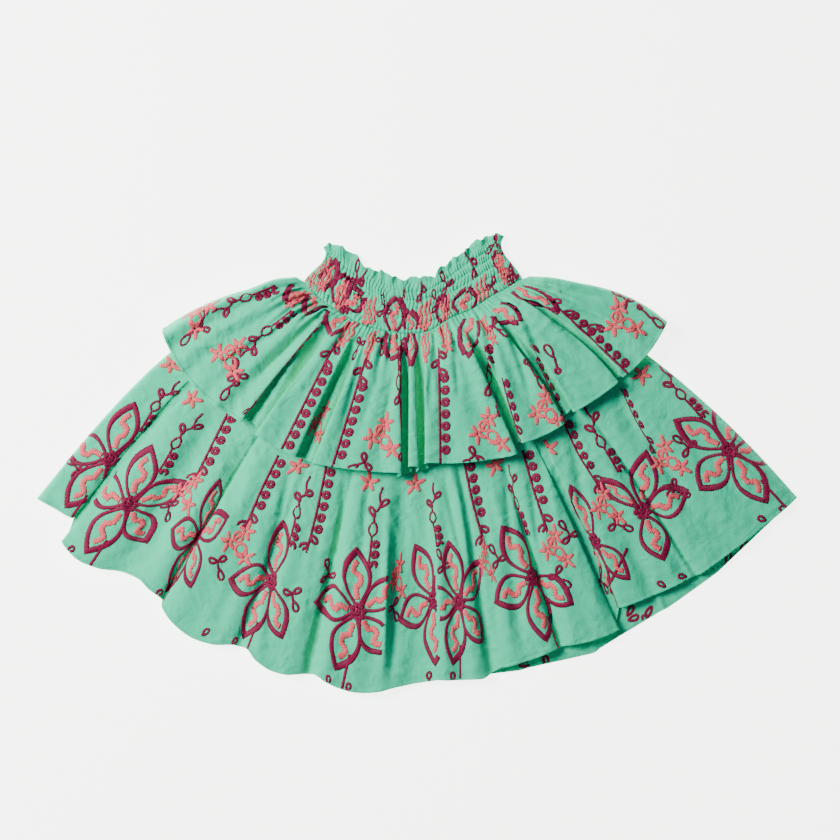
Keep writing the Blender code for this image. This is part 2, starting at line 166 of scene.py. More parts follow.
# A crease: where it starts and ends, seen from above, its width and its height, negative for a trough
Crease = namedtuple("Crease", "x0 y0 x1 y1 width rise")
UPPER_CREASES = rows_of(
    Crease,
    (-140, 181, -218, 142, 5, -2.5), (-164, 160, -254, 106, 6, -2.5), (-136, 160, -226, 70, 6, -1.6),
    (-150, 178, -236, 124, 5, 1.6), (-104, 184, -182, 109, 4, -4), (-122, 154, -182, 52, 7, 2),
    (-116, 136, -158, 76, 4, -2.5), (-80, 166, -98, 124, 4, -4), (-62, 142, -86, 52, 4, -3),
    (-50, 136, -78, 40, 5, 2), (-38, 136, -66, 40, 5, -2.6), (-23, 124, -44, 16, 4, -2.6),
    (-14, 140, -14, 60, 4, -3.5), (20, 140, 14, 60, 4, -3), (44, 140, 50, 80, 3.5, -3),
    (60, 150, 84, 60, 7, 1.8), (80, 166, 100, 88, 4, -4.5), (88, 160, 118, 60, 5, 1.8),
    (108, 157, 134, 92, 4, -3.5), (122, 130, 142, 50, 4, -2), (130, 166, 154, 112, 4, -4),
    (143, 146, 196, 62, 4, -2.6), (150, 150, 214, 80, 5, 1.6), (150, 186, 204, 130, 4, -2.4),
    (190, 182, 245, 157, 4, -3), (181, 166, 245, 132, 4, -3.2), (154, 208, 220, 196, 5, -2.8),
    (196, 150, 236, 120, 4, -2.6), (214, 176, 268, 150, 4, 2.2), (160, 196, 214, 176, 4, 2.4),
)
LOWER_CREASES = rows_of(
    Crease,
    (-242, 58, -284, -8, 12, -4.5), (-284, -8, -325, -125, 14, -5), (-338, -8, -356, -68, 10, 2),
    (-300, 60, -372, -20, 9, -2.6), (-330, 40, -400, -50, 7, -2.2), (-210, 22, -222, -44, 12, -3.5),
    (-186, 4, -242, -116, 12, 2.5), (-224, -8, -302, -164, 8, -2.5), (-200, -98, -242, -206, 9, -4),
    (-152, -8, -170, -92, 5, -3.5), (-170, -92, -179, -224, 7, -4.5), (-134, -8, -158, -92, 7, 2.2),
    (-86, -20, -95, -116, 5, -3), (-95, -116, -128, -252, 6, -3), (-58, -20, -66, -120, 5, -2.2),
    (-112, -60, -128, -150, 5, -1.8), (-60, -150, -50, -250, 8, -2), (-18, -20, -20, -164, 11, -6),
    (-20, -164, -34, -262, 9, -4), (-36, -100, -39, -236, 4, 2.4), (-26, -90, -29, -240, 5, -3.5),
    (-34, -30, -40, -200, 5, 2), (10, -20, 13, -164, 10, -4.5), (13, -164, 16, -250, 9, -3),
    (34, -20, 54, -116, 4, -3.5), (42, -8, 66, -116, 6, 3), (70, -20, 88, -116, 6, -3.8),
    (88, -116, 96, -230, 8, -3), (88, -26, 106, -92, 5, 2.2), (106, -20, 114, -116, 5, -3.5),
    (114, -116, 124, -212, 8, -3.5), (133, 4, 148, -116, 5, -3.5), (148, -116, 172, -212, 8, -4.5),
    (154, 10, 172, -92, 6, 2.4), (184, 40, 202, -68, 7, -4.5), (202, -68, 238, -206, 8, -4),
    (232, 94, 268, 28, 9, -3.5), (253, -92, 286, -164, 8, -3.5), (298, -98, 328, -146, 6, -3.2),
    (280, 28, 330, -60, 7, -3), (216, 20, 262, -60, 9, 2), (340, -40, 400, -60, 6, -1.4),
    (330, -90, 372, -100, 5, -1.2), (-140, -226, -60, -238, 5, -1.2),
)
# The cloth in each tuck of the upper tier climbs towards the next pleat, along these lines
UPPER_RAMPS = rows_of(
    Crease,
    (-112, 182, -196, 38, 6, 6), (-75, 142, -127, 2, 6, 6.5), (64, 144, 122, 22, 4, 6),
    (104, 168, 182, 58, 4, 5.5), (150, 200, 245, 100, 4, 3),
)
# The lowest that a trough of a front tier may reach, over what lies under it
TROUGH_FLOOR = {"upper": 12.0, "lower": 3.7}
# How far a crease runs on past its ends, as a share of its length
PAST_END = 0.2
# The height of the small gathers in each front tier, and of the fine ones at its seam
GATHER_HEIGHT = {"upper": 2.2, "lower": 0.7}
SEAM_GATHER_HEIGHT = 1.3
SEAM_SAMPLES = 800
# The hem: how many hems high its close rows reach and how many they are, how much thicker the folded cloth
# is, how deep its stitches pull it in, and how far above the fold they are
HEM_ROOM = 2.2
HEM_ROWS = 9
HEM_THICKNESS = 0.3
HEM_GROOVE = 0.35
HEM_STITCH_ABOVE = 0.3
# The search for a place on a cloth: how near in mm it has to come, how many rows or columns a step of it may
# go, how much nearer in mm cloth counts for each mm that it is higher, and within how many mm of the nearest
NEAR_ENOUGH = 0.5
LONGEST_MOVE = 12
HIGHER_COUNTS = 0.35
HIGHER_WITHIN = 3
WRINKLE_DIRECTIONS = 16


def smooth_step(low, high, value):
    """0 below low, 1 above high, and a smooth rise between them."""
    share = np.clip((value - low) / (high - low), 0, 1)
    return share * share * (3 - 2 * share)


def unit(vectors):
    """The vectors at a length of one."""
    return vectors / np.maximum(np.linalg.norm(vectors, axis=-1), 1e-9)[..., None]


def right_of(way):
    """Directions seen from above, turned a quarter to the right."""
    return np.stack([way[..., 1], -way[..., 0]], axis=-1)


def spline(points, places):
    """A smooth curve through the rows of points, at places counted in rows, that never swings past them."""
    points = np.asarray(points, float)
    places = np.asarray(places, float)
    steps = np.diff(points, axis=0)
    across = unit(np.concatenate([steps[:1], points[2:] - points[:-2], steps[-1:]]))
    first = np.clip(np.floor(places).astype(int), 0, len(points) - 2)
    share = (places - first)[:, None]
    pull = np.linalg.norm(steps[first], axis=1)[:, None] * SPLINE_PULL
    square, cube = share**2, share**3
    return (
        points[first] * (2 * cube - 3 * square + 1)
        + across[first] * pull * (cube - 2 * square + share)
        + points[first + 1] * (3 * square - 2 * cube)
        + across[first + 1] * pull * (cube - square)
    )


def lengths_along(points):
    """The length of a line of points, from its start to each point."""
    return np.concatenate([[0], np.cumsum(np.linalg.norm(np.diff(points, axis=0), axis=1))])


def points_at(wanted, lengths, points):
    """The flat points of a line at the wanted lengths."""
    return np.column_stack([np.interp(wanted, lengths, points[:, axis]) for axis in (0, 1)])


def waist_curve(columns, shares):
    """Points at these shares of a waist curve's places: columns name its two columns in WAIST_LINES."""
    rows = [[getattr(line, column) for column in columns] for line in WAIST_LINES]
    return spline(rows, np.asarray(shares, float) * (len(rows) - 1))


def seam_run(seams):
    """The edge of a tier at the waist seam, clear of the band, at these shares of the seam's length."""
    fine = np.linspace(0, 1, SEAM_SAMPLES)
    curve = waist_curve(("seam_x", "seam_y"), fine)
    lengths = lengths_along(curve)
    places = np.interp(seams, lengths / lengths[-1], fine)
    normals = right_of(unit(points_at(places, fine, np.gradient(curve, axis=0))))
    return waist_curve(("seam_x", "seam_y"), places) + normals * SEAM_GAP


def hem_point(pleat, share):
    """A point of a pleat's hem, share of the way from its left corner to its right one."""
    left = np.array([pleat.left_x, pleat.left_y], float)
    right = np.array([pleat.right_x, pleat.right_y], float)
    chord = right - left
    return left + chord * share + unit(right_of(chord)) * pleat.belly * 4 * share * (1 - share)


def pleat_lines(pleat, number):
    """The edges, crests and dips of one pleat, uneven in depth from one to the next."""
    places = [index / (2 * pleat.dips) for index in range(2 * pleat.dips + 1)] if pleat.dips else [0, 1]
    if pleat.shoulder < 1:
        inner = 2 * pleat.dips + 1
        span = inner - 1 + 2 * EDGE_SPACE
        places = [0] + [(index + EDGE_SPACE) / span for index in range(inner)] + [1]
    first_crest = 1 if pleat.shoulder < 1 else 0
    lines = []
    for index, share in enumerate(places):
        seam = pleat.start + (pleat.end - pleat.start) * share
        uneven = 1 + CREST_UNEVEN * math.sin(2.1 * index + 1.7 * number)
        inside = 0 < index < len(places) - 1
        rise = pleat.height * (1 - CREST_LOSS * uneven)
        if not inside:
            rise *= pleat.shoulder
        elif (index - first_crest) % 2:
            rise = pleat.height - pleat.dip * uneven
        lines.append(FoldLine(seam, *hem_point(pleat, share), rise, float(inside), False))
    return lines


def tuck_lines(pleat, after):
    """The one or two lines at the foot of the tuck or the hollow between a pleat and the one after it."""
    here, there = hem_point(pleat, 1), hem_point(after, 0)
    along = unit(hem_point(after, 1) - hem_point(pleat, 0))
    outward = right_of(along)
    if pleat.tuck < 0:
        middle = (here + there) / 2 + outward * pleat.drop
        return [FoldLine((pleat.end + after.start) / 2, *middle, 0, 0, False)]
    gap = after.start - pleat.end
    left = here - along * pleat.tuck + outward * pleat.drop
    right = there + along * pleat.tuck + outward * pleat.drop
    return [
        FoldLine(pleat.end + gap / 3, *left, 0, 0, False),
        FoldLine(after.start - gap / 3, *right, 0, 0, False),
    ]


def fold_lines(pleats):
    """Every fold line of a tier, from its left edge to its right one, with the edges rolled down."""
    first, last = pleats[0], pleats[-1]
    inset = hem_point(first, ROLLED_HEM)
    end_inset = hem_point(last, 1 - ROLLED_HEM)
    inner = list(pleats)
    inner[0] = first._replace(left_x=inset[0], left_y=inset[1])
    inner[-1] = last._replace(right_x=end_inset[0], right_y=end_inset[1])
    lines = [FoldLine(first.start - ROLLED_SEAM, first.left_x, first.left_y, 0, 0, True)]
    for number, pleat in enumerate(inner):
        lines += pleat_lines(pleat, number)
        if number < len(inner) - 1:
            lines += tuck_lines(pleat, inner[number + 1])
    lines.append(FoldLine(last.end + ROLLED_SEAM, last.right_x, last.right_y, 0, 0, True))
    return lines


def edge_bow(curve, share):
    """How far a side edge stands out from a straight line at this share of the way to the hem."""
    bow = curve.bow * 4 * share * (1 - share) * (1 - curve.skew * (2 * share - 1))
    return bow + curve.puff * smooth_step(0, 0.05, share) * (1 - smooth_step(0.15, 0.4, share))


def run_of(lines, tier, share):
    """Where each fold line is, seen from above, at this share of its way from the waist seam to the hem."""
    start = seam_run([line.seam for line in lines])
    hem = np.array([[line.hem_x, line.hem_y] for line in lines])
    way = hem - start
    side = np.array([2 * line.seam - 1 for line in lines])
    left, right = edge_bow(LEFT_EDGE[tier], share), edge_bow(RIGHT_EDGE[tier], share)
    bow = np.where(side < 0, left, -right) * np.abs(side) ** BOW_POWER
    return start + way * share + unit(right_of(way)) * bow[:, None]


def front_top(lines, tier, share):
    """The height of each fold line's upper face, for a front tier."""
    rise = np.array([line.rise for line in lines])
    edge = np.array([line.is_edge for line in lines])
    if tier == "upper":
        bed = UPPER_SEAM_TOP + (UPPER_BED_TOP - UPPER_SEAM_TOP) * smooth_step(0, 0.16, share)
        grown = smooth_step(0.02, 0.34, share)
        edge_top = UPPER_SEAM_TOP + (EDGE_TOP_ON_FLOOR - UPPER_SEAM_TOP) * smooth_step(0, 0.3, share)
    else:
        bed = LOWER_SEAM_TOP + (LOWER_BED_TOP - LOWER_SEAM_TOP) * smooth_step(0, 0.1, share)
        bed += (LOWER_HEM_BED_TOP - LOWER_BED_TOP) * smooth_step(0.5, 0.75, share)
        hidden = LOWER_HIDDEN_SHARE * smooth_step(0.02, 0.12, share)
        grown = hidden + (1 - LOWER_HIDDEN_SHARE) * smooth_step(0.44, 0.72, share)
        edge_top = LOWER_SEAM_TOP + (EDGE_TOP_ON_TIER - LOWER_SEAM_TOP) * smooth_step(0, 0.15, share)
        edge_top += (EDGE_TOP_ON_FLOOR - EDGE_TOP_ON_TIER) * smooth_step(0.48, 0.62, share)
    return np.where(edge, edge_top, bed + rise * grown)


def back_foot(lines, tier, share):
    """The height of each fold line's lower face, for a back tier: flat pleats with raised lines between."""
    raised = np.array([line.rise == 0 and not line.is_edge for line in lines], float)
    grown = smooth_step(0.05, 0.3, share)
    if tier == "upper":
        return UPPER_BACK_TROUGH * raised * grown
    on_floor = smooth_step(0.47, 0.6, share)
    trough = LOWER_BACK_TROUGH + (LOWER_BACK_HEM_TROUGH - LOWER_BACK_TROUGH) * on_floor
    return LOWER_BACK_LIFT * (1 - on_floor) + trough * raised * grown


# Cloth that is finer than the solids


# A cloth laid out as rows of points from its top edge down: its points and outward normals, the length of
# cloth from the left edge to each point, the length from the top edge down to it, how fast both grow from
# point to point, and the seam share of each column
Cloth = namedtuple("Cloth", "points normals across down across_slope down_slope seams")


def gathers_at(places, share, height):
    """Small gathers under the waist seam: each line has its own length, and finer ones lie between."""
    uneven = np.sin(1.9 * places + 0.7) * np.sin(0.83 * places)
    reach = 0.4 + 0.2 * uneven
    long_ones = -np.cos(2 * math.pi * places) * (1 - smooth_step(0.14, reach, share))
    fine_ones = np.sin(4 * math.pi * places + 1.1 * np.sin(places)) * (1 - smooth_step(0.04, 0.14, share))
    grown = smooth_step(0, 0.07, share)
    return height * grown * (long_ones * (0.9 + 0.3 * uneven) + 0.35 * fine_ones)


def beside(points, line):
    """How far along a line the points are, as a share, and a bell that falls off on both sides of it."""
    start = np.array([line.x0, line.y0], float)
    way = np.array([line.x1, line.y1], float) - start
    reach = np.clip(((points[..., :2] - start) @ way) / (way @ way), -PAST_END, 1 + PAST_END)
    off = np.linalg.norm(points[..., :2] - start - reach[..., None] * way, axis=-1)
    return reach, np.exp(-((off / line.width) ** 2))


def creased(points, creases, lowest):
    """Points moved up or down by the creases, but never below the height that clears the cloth under them."""
    before = points[..., 2].copy()
    for crease in creases:
        reach, bell = beside(points, crease)
        ends = smooth_step(-PAST_END, 0.25, reach) * (1 - smooth_step(0.7, 1 + PAST_END, reach))
        points[..., 2] += crease.rise * ends * bell
    points[..., 2] = np.maximum(points[..., 2], np.minimum(before, lowest))
    return points


def ramped(points, ramps):
    """Points low in the tucks raised along the ramps, and higher ones less, up to the pleats' own height."""
    for ramp in ramps:
        reach, bell = beside(points, ramp)
        room = np.clip((PLEAT_TOP - points[..., 2]) / (PLEAT_TOP - UPPER_BED_TOP), 0, 1)
        points[..., 2] += ramp.rise * smooth_step(0.02, 0.35, reach) * room * bell
    return points


def waves(count, places, start=0.0):
    """A sine with this many waves from place 0 to place 1."""
    return np.sin(2 * math.pi * count * places + start)


def wander(places):
    """How far the fine gathers drift from an even pitch, as an angle."""
    return 2.2 * waves(3.3, places) + 1.4 * waves(8.3, places, 1)


def inside_ends(places):
    """1 all along the band, falling to 0 at its two ends."""
    return smooth_step(0, 0.04, np.minimum(places, 1 - places))


def seam_gathers(seams, share):
    """The band's fine gathers running on into a tier, each one dying out at its own length."""
    reach = 0.1 + 0.07 * waves(13.7, seams) + 0.05 * waves(29.3, seams, 2)
    shown = (1 - smooth_step(0.02, 1, share / np.maximum(reach * 1.8, 0.02))) * inside_ends(seams)
    gather = (0.5 + 0.5 * np.cos(2 * math.pi * SEAM_GATHERS * seams + wander(seams))) ** 0.8
    return SEAM_GATHER_HEIGHT * shown * gather


def wrinkled(points, seed, height):
    """Points with faint wrinkles in all directions, as washed poplin has, in patches and uneven in length."""
    chance = np.random.default_rng(seed)
    plan = points[..., :2]
    for _ in range(WRINKLE_DIRECTIONS):
        way = turned([(1.0, 0.0)], chance.uniform(0, 180))[0]
        side = np.array([-way[1], way[0]])
        length, patch = chance.uniform(22, 60), chance.uniform(26, 60)
        start, bend, place = chance.uniform(0, 2 * math.pi, 3)
        wave = np.sin(2 * math.pi * (plan @ way) / length + 1.4 * np.sin(plan @ side / 24 + bend) + start)
        shown = smooth_step(0.1, 0.9, np.sin(plan @ side / patch + place) * np.sin(plan @ way / patch + bend))
        points[..., 2] += height * shown * (1 - np.abs(wave)) ** 2
    return points


def as_cloth(points, faces_up, seams):
    """A cloth from rows of points, with its normals up or down and its lengths."""
    down_step = np.gradient(points, axis=0)
    right_step = np.gradient(points, axis=1)
    normals = unit(np.cross(down_step, right_step))
    if (normals[..., 2].mean() > 0) != faces_up:
        normals = -normals
    across = np.zeros(points.shape[:2])
    across[:, 1:] = np.cumsum(np.linalg.norm(np.diff(points, axis=1), axis=2), axis=1)
    down = np.zeros(points.shape[:2])
    down[1:] = np.cumsum(np.linalg.norm(np.diff(points, axis=0), axis=2), axis=0)
    slopes = np.gradient(across, axis=1), np.gradient(down, axis=0)
    return Cloth(points, normals, across, down, *slopes, seams)


def rows_to_hem(hidden, hidden_rows, rows, length, hem):
    """Shares of the way down: a few where the cloth is hidden, even ones below, and close ones in the hem."""
    hem_start = 1 - HEM_ROOM * hem / length
    upper = np.linspace(0, hidden, hidden_rows, endpoint=False)
    middle = np.linspace(hidden, hem_start, rows, endpoint=False)
    return np.concatenate([upper, middle, np.linspace(hem_start, 1, HEM_ROWS)])


def tier_cloth(tier, is_front, pleats, shares, per_line, creases=(), ramps=()):
    """A tier's front or back as a fine cloth."""
    lines = fold_lines(pleats)
    places = np.linspace(0, len(lines) - 1, (len(lines) - 1) * per_line + 1)
    seams = np.interp(places, np.arange(len(lines)), [line.seam for line in lines])
    gathered = np.interp(places, np.arange(len(lines)), [line.gathers for line in lines])
    height_of = front_top if is_front else back_foot
    rows = []
    for share in shares:
        plan, heights = run_of(lines, tier, share), height_of(lines, tier, share)
        points = spline(np.column_stack([plan, heights]), places)
        if share == 0:
            points[:, :2] = seam_run(seams)
        if is_front:
            points[:, 2] += gathered * gathers_at(places, share, GATHER_HEIGHT[tier])
            points[:, 2] += seam_gathers(seams, share)
        else:
            points[:, 2] = np.maximum(points[:, 2], 0) + BACK_CLEARANCE
        rows.append(points)
    points = creased(ramped(np.array(rows), ramps), creases, TROUGH_FLOOR[tier])
    if is_front:
        points = wrinkled(points, len(pleats), WRINKLE)
    return as_cloth(points, is_front, seams)


def hemmed(cloth, hem, is_front):
    """The cloth with its hem folded up: a little thicker, with a groove where it is stitched."""
    left = cloth.down[-1] - cloth.down
    folded = HEM_THICKNESS * (1 - smooth_step(hem, hem + 0.7, left))
    groove = HEM_GROOVE * np.exp(-(((left - hem - HEM_STITCH_ABOVE) / 0.6) ** 2))
    points = cloth.points + cloth.normals * (folded - groove)[..., None] * (1 if is_front else 0.5)
    return as_cloth(points, is_front, cloth.seams)


def band_plan(share_up, places):
    """The waistband seen from above, at this share of the way from the waist seam to the frill's edge."""
    seam = waist_curve(("seam_x", "seam_y"), places)
    frill = waist_curve(("frill_x", "frill_y"), places)
    plan = seam + (frill - seam) * share_up
    side = 2 * places - 1
    pinch = BAND_PINCH * share_up**2 * (1 - share_up) / PINCH_PEAK
    plan[:, 0] -= pinch * np.sign(side) * np.abs(side) ** 5
    return plan


def band_cloth(is_front, gathers, rows):
    """The shirred band and its frill as a fine cloth: small uneven gathers, pinched along each thread."""
    places = np.linspace(0, 1, gathers * 8 + 1)
    ends = inside_ends(places)
    points = []
    for share_up in np.linspace(1, 0, rows):
        frill = smooth_step(1 - FRILL_SHARE, 1, share_up)
        thread = share_up / (1 - FRILL_SHARE) * SHIRRING_ROWS
        pinched = np.cos(math.pi * thread) ** 8 * (1 - frill)
        drift = 1.9 * waves(1, 4.3 * places + 0.41 * thread) + 1.2 * np.sin(2.3 * thread + 47 * places)
        phase = 2 * math.pi * gathers * places + wander(places) + drift
        size = 0.75 + 0.45 * waves(11.3, places, 1.3 * thread) * waves(5.1, places)
        fold = np.abs(np.sin(phase / 2)) ** 0.7
        ripple = BAND_GATHER * (1 - 0.35 * pinched) * size * fold * (1 - 0.7 * frill)
        wave = FRILL_DEPTH * frill * (0.5 + 0.5 * waves(FRILL_WAVES, places, 0.8))
        wave += 1.3 * frill * (1 + waves(16, places, 2.5 * waves(3, places)))
        plan = band_plan(share_up, places)
        edge = smooth_step(0.75, 1, share_up) * ends * np.sin(math.pi * places) ** 0.3
        flips = 2.0 * waves(6.3, places, 1) + 1.5 * waves(14.7, places, 2)
        plan[:, 1] += edge * (flips + 0.6 * waves(31, places))
        plan[:, 0] += edge * 1.6 * waves(11.1, places)
        if is_front:
            top = BAND_FRONT_FLOOR + BAND_WALL - BAND_EDGE_DROP * (1 - ends) - 0.3
            height = top + (wave - 1.6 * frill + ripple - 0.9 * pinched) * ends
        else:
            height = BACK_CLEARANCE + (0.4 * wave[::-1] + 1.3 - ripple * 0.6 + 0.3 * pinched) * ends
        points.append(np.column_stack([plan, height]))
    return as_cloth(np.array(points), is_front, places)


def closed_sheet(name, cloth, wall, finish):
    """A closed mesh: the cloth's outer face, an inner face one wall behind it, and the rim."""
    rows, columns = cloth.points.shape[:2]
    outer = cloth.points.reshape(-1, 3)
    inner = (cloth.points - cloth.normals * wall).reshape(-1, 3)
    index = np.arange(rows * columns).reshape(rows, columns)
    corners = [index[:-1, :-1], index[1:, :-1], index[1:, 1:], index[:-1, 1:]]
    face = np.stack(corners, axis=-1).reshape(-1, 4)
    a, b, c = (outer[face[:, corner]] for corner in (0, 1, 2))
    facing = np.einsum("ij,ij->i", np.cross(b - a, c - a), cloth.normals.reshape(-1, 3)[face[:, 0]])
    rim = np.concatenate([index[0, :-1], index[:-1, -1], index[-1, :0:-1], index[:0:-1, 0]])
    ahead = np.roll(rim, -1)
    side = np.stack([rim, ahead, ahead + rows * columns, rim + rows * columns], axis=-1)
    if facing.sum() < 0:
        face, side = face[:, ::-1], side[:, ::-1]
    faces = np.concatenate([face, face[:, ::-1] + rows * columns, side])
    lengths = np.stack([cloth.across, cloth.down], axis=-1).reshape(-1, 2)
    points, lengths = np.concatenate([outer, inner]), np.concatenate([lengths, lengths])
    return add_piece(name, points, faces.tolist(), lengths, finish)


# Places on a cloth, as row and column


def look_up(values, places):
    """Values between the cloth's points, at these places."""
    rows = np.clip(places[..., 0], 0, values.shape[0] - 1.001)
    columns = np.clip(places[..., 1], 0, values.shape[1] - 1.001)
    row, column = rows.astype(int), columns.astype(int)
    down, right = rows - row, columns - column
    if values.ndim == 3:
        down, right = down[..., None], right[..., None]
    return (
        values[row, column] * (1 - down) * (1 - right)
        + values[row + 1, column] * down * (1 - right)
        + values[row, column + 1] * (1 - down) * right
        + values[row + 1, column + 1] * down * right
    )


def place_under(cloth, seen):
    """The place of the uppermost cloth under each point seen from above."""
    plan = cloth.points[..., :2]
    steps = [np.gradient(plan, axis=axis) for axis in (0, 1)]
    places = []
    for point in np.atleast_2d(seen):
        away = np.linalg.norm(plan - point, axis=2)
        near = away < away.min() + HIGHER_WITHIN
        rank = away - HIGHER_COUNTS * np.abs(cloth.points[..., 2]) * near
        place = np.array(np.unravel_index(np.argmin(rank), away.shape), float)
        for _ in range(2):
            jacobian = np.stack([look_up(step, place) for step in steps], axis=1)
            if abs(np.linalg.det(jacobian)) > 0.05:
                miss = point - look_up(plan, place)
                place += np.clip(np.linalg.solve(jacobian, miss), -1.5, 1.5)
        places.append(place)
    return np.array(places)


def moved(cloth, places, right, down):
    """Places moved by millimetres of cloth, and whether they are still on it."""
    places = np.array(places, float)
    target = look_up(cloth.down, places) + down
    for _ in range(6):
        miss = target - look_up(cloth.down, places)
        places[..., 0] += np.clip(miss / look_up(cloth.down_slope, places), -LONGEST_MOVE, LONGEST_MOVE)
        places[..., 0] = np.clip(places[..., 0], 0, cloth.down.shape[0] - 1)
    held = np.abs(target - look_up(cloth.down, places)) < NEAR_ENOUGH
    target = look_up(cloth.across, places) + right
    for _ in range(8):
        miss = target - look_up(cloth.across, places)
        places[..., 1] += np.clip(miss / look_up(cloth.across_slope, places), -LONGEST_MOVE, LONGEST_MOVE)
        places[..., 1] = np.clip(places[..., 1], 0, cloth.across.shape[1] - 1)
    return places, held & (np.abs(target - look_up(cloth.across, places)) < NEAR_ENOUGH)


# Embroidery, drawn flat in millimetres: x to the right and y up the cloth


Stitch = namedtuple("Stitch", "line width thread")
MAROON, CORAL = "maroon", "coral"
# The shares of the seam that a motif shows between, where no fold hides any of it
EVERYWHERE = (-1, 2)
# The direction in degrees, the length and half the width of each petal of a flower
FLOWER_PETALS = ((101, 71, 16.5), (184, 60, 19), (255, 75, 17), (312, 62, 16), (38, 63, 17))
# A stepped filling line, as shares of a petal's half width and length
PETAL_STEPS = ((0, 0.2), (0.08, 0.4), (-0.3, 0.47), (-0.3, 0.58), (0.26, 0.66), (0.18, 0.75), (-0.08, 0.83))
# The widths of a star's satin stitches, from its middle to a point
STAR_WIDTHS = (4.6, 6.0, 6.4, 5.2, 3.4)
STAR_POINTS = 5
RING_PITCH = 14.0
# The corners that a ring, a teardrop and half of a petal's outline are drawn with
RING_CORNERS = 12
LOOP_CORNERS = 17
PETAL_CORNERS = 26


def turned(points, angle):
    """Flat points turned by an angle in degrees."""
    turn = math.radians(angle)
    points = np.asarray(points, float)
    return points @ np.array([[math.cos(turn), math.sin(turn)], [-math.sin(turn), math.cos(turn)]])


def drawn(points, step=3.0):
    """A smooth line drawn through a few points."""
    points = np.asarray(points, float)
    length = np.linalg.norm(np.diff(points, axis=0), axis=1).sum()
    count = max(int(length / step), len(points))
    return spline(points, np.linspace(0, len(points) - 1, count + 1))


def petal(angle, length, half, number):
    """One broad petal: two outlines that meet in a corner, heavier towards it, and a stepped filling."""
    share = np.linspace(0, 1, PETAL_CORNERS)
    bulge = np.sin(math.pi * share**1.1) ** 0.9
    lean = 2.5 * math.sin(2.3 * number + 1)
    up = 5 + (length - 5) * share
    stitches = []
    for side, heavy in ((1, 2.4), (-1, 4.2)):
        line = np.column_stack([side * half * bulge + lean * share**2, up])
        if side < 0:
            line = np.vstack([line, line[-1] + (line[-1] - line[-2]) * 0.8])
        width = 4.6 + heavy * smooth_step(0.25, 0.8, np.linspace(0, 1, len(line)))
        stitches.append(Stitch(turned(line, angle - 90), width, MAROON))
    steps = np.array(PETAL_STEPS) * (half * (1 if number % 2 else -1), length)
    steps[:, 0] += lean * (steps[:, 1] / length) ** 2
    line = straight(steps, 1.5)
    width = min(8.6, 0.55 * half) * (1 + 0.16 * np.sin(1.9 * np.arange(len(line)) + number))
    width[1::2] *= 0.74
    stitches.append(Stitch(turned(line, angle - 90), width, CORAL))
    return stitches


def straight(points, step):
    """A line of straight runs through a few points."""
    points = np.asarray(points, float)
    lengths = lengths_along(points)
    return points_at(np.linspace(0, lengths[-1], int(lengths[-1] / step) + 2), lengths, points)


def ring(x, y, radius, width, thread=MAROON, count=RING_CORNERS):
    """A small closed ring."""
    turn = np.linspace(0, 2 * math.pi, count + 1)
    line = np.column_stack([x + radius * np.cos(turn), y + radius * np.sin(turn)])
    return Stitch(line, width, thread)


def loop(x, y, angle, length=12.5, half=3.6, width=4.2):
    """An outlined teardrop from a point, in a direction."""
    turn = np.linspace(0, 2 * math.pi, LOOP_CORNERS)
    along = length * (1 - np.cos(turn)) / 2
    line = np.column_stack([along, half * np.sin(turn) * np.sin(turn / 2) ** 0.8])
    return Stitch(turned(line, angle) + (x, y), width, MAROON)


def star(x, y, angle, reach=12.8):
    """A small star of satin stitches."""
    stitches = []
    for number in range(STAR_POINTS):
        uneven = 1 + 0.13 * math.sin(3.7 * number + angle)
        line = np.column_stack([np.linspace(1.0, reach * uneven, 5), np.zeros(5)])
        line = turned(line, angle + 360 / STAR_POINTS * number) + (x, y)
        stitches.append(Stitch(line, np.array(STAR_WIDTHS), CORAL))
    return stitches


def flower(gone=()):
    """A five-petalled flower with a knotted eye and a stem, without the petals that a fold hides."""
    stitches = []
    for number, (angle, length, half) in enumerate(FLOWER_PETALS):
        if number not in gone:
            stitches += petal(angle, length, half, number)
    stem = np.column_stack([np.linspace(-3, -9, 30), np.linspace(-52, -125, 30)])
    return stitches + [Stitch(stem, 4.0, MAROON)] + eye()


def eye():
    """A flower's eye: a round of small knots."""
    stitches = [ring(0, 0, 2.3, 5.0, MAROON, 12)]
    for number in range(7):
        turn = math.radians(360 / 7 * number + 10)
        stitches.append(ring(7.9 * math.cos(turn), 7.9 * math.sin(turn), 1.9, 4.6, MAROON, 9))
    return stitches


def sprig():
    """Three coral stars joined by strands."""
    stitches = star(3, 17, 10) + star(-15, -1, 40) + star(10, -15, 25)
    stitches += [ring(-5, 8, 6, 4.0, CORAL, 14), ring(2, -5, 6.5, 4.0, CORAL, 14)]
    return stitches


def tuft():
    """What a seam leaves of a sprig: a star under a few rough strands."""
    stitches = star(0, -12, 20, 11)
    for number, across in enumerate((-8, 0, 8)):
        corners = ((across, -6), (across + 3, 2), (across - 2, 9), (across + 2, 17 + 3 * number))
        strand = straight(corners, 1.5)
        width = np.full(len(strand), 6.4)
        width[::2] = 4.2
        stitches.append(Stitch(strand, width, CORAL))
    return stitches


def tendril():
    """A teardrop on a long stem, and two small ones."""
    return [
        Stitch(drawn(((0, 0), (-1, 6), (-3, 10))), 3.6, MAROON),
        loop(-3, 9, 112, 13, 4.0, 3.8), loop(1, 1, 5, 10.5, 3.6, 4.0), loop(-1, 0, 215, 10.5, 3.4, 4.0),
    ]


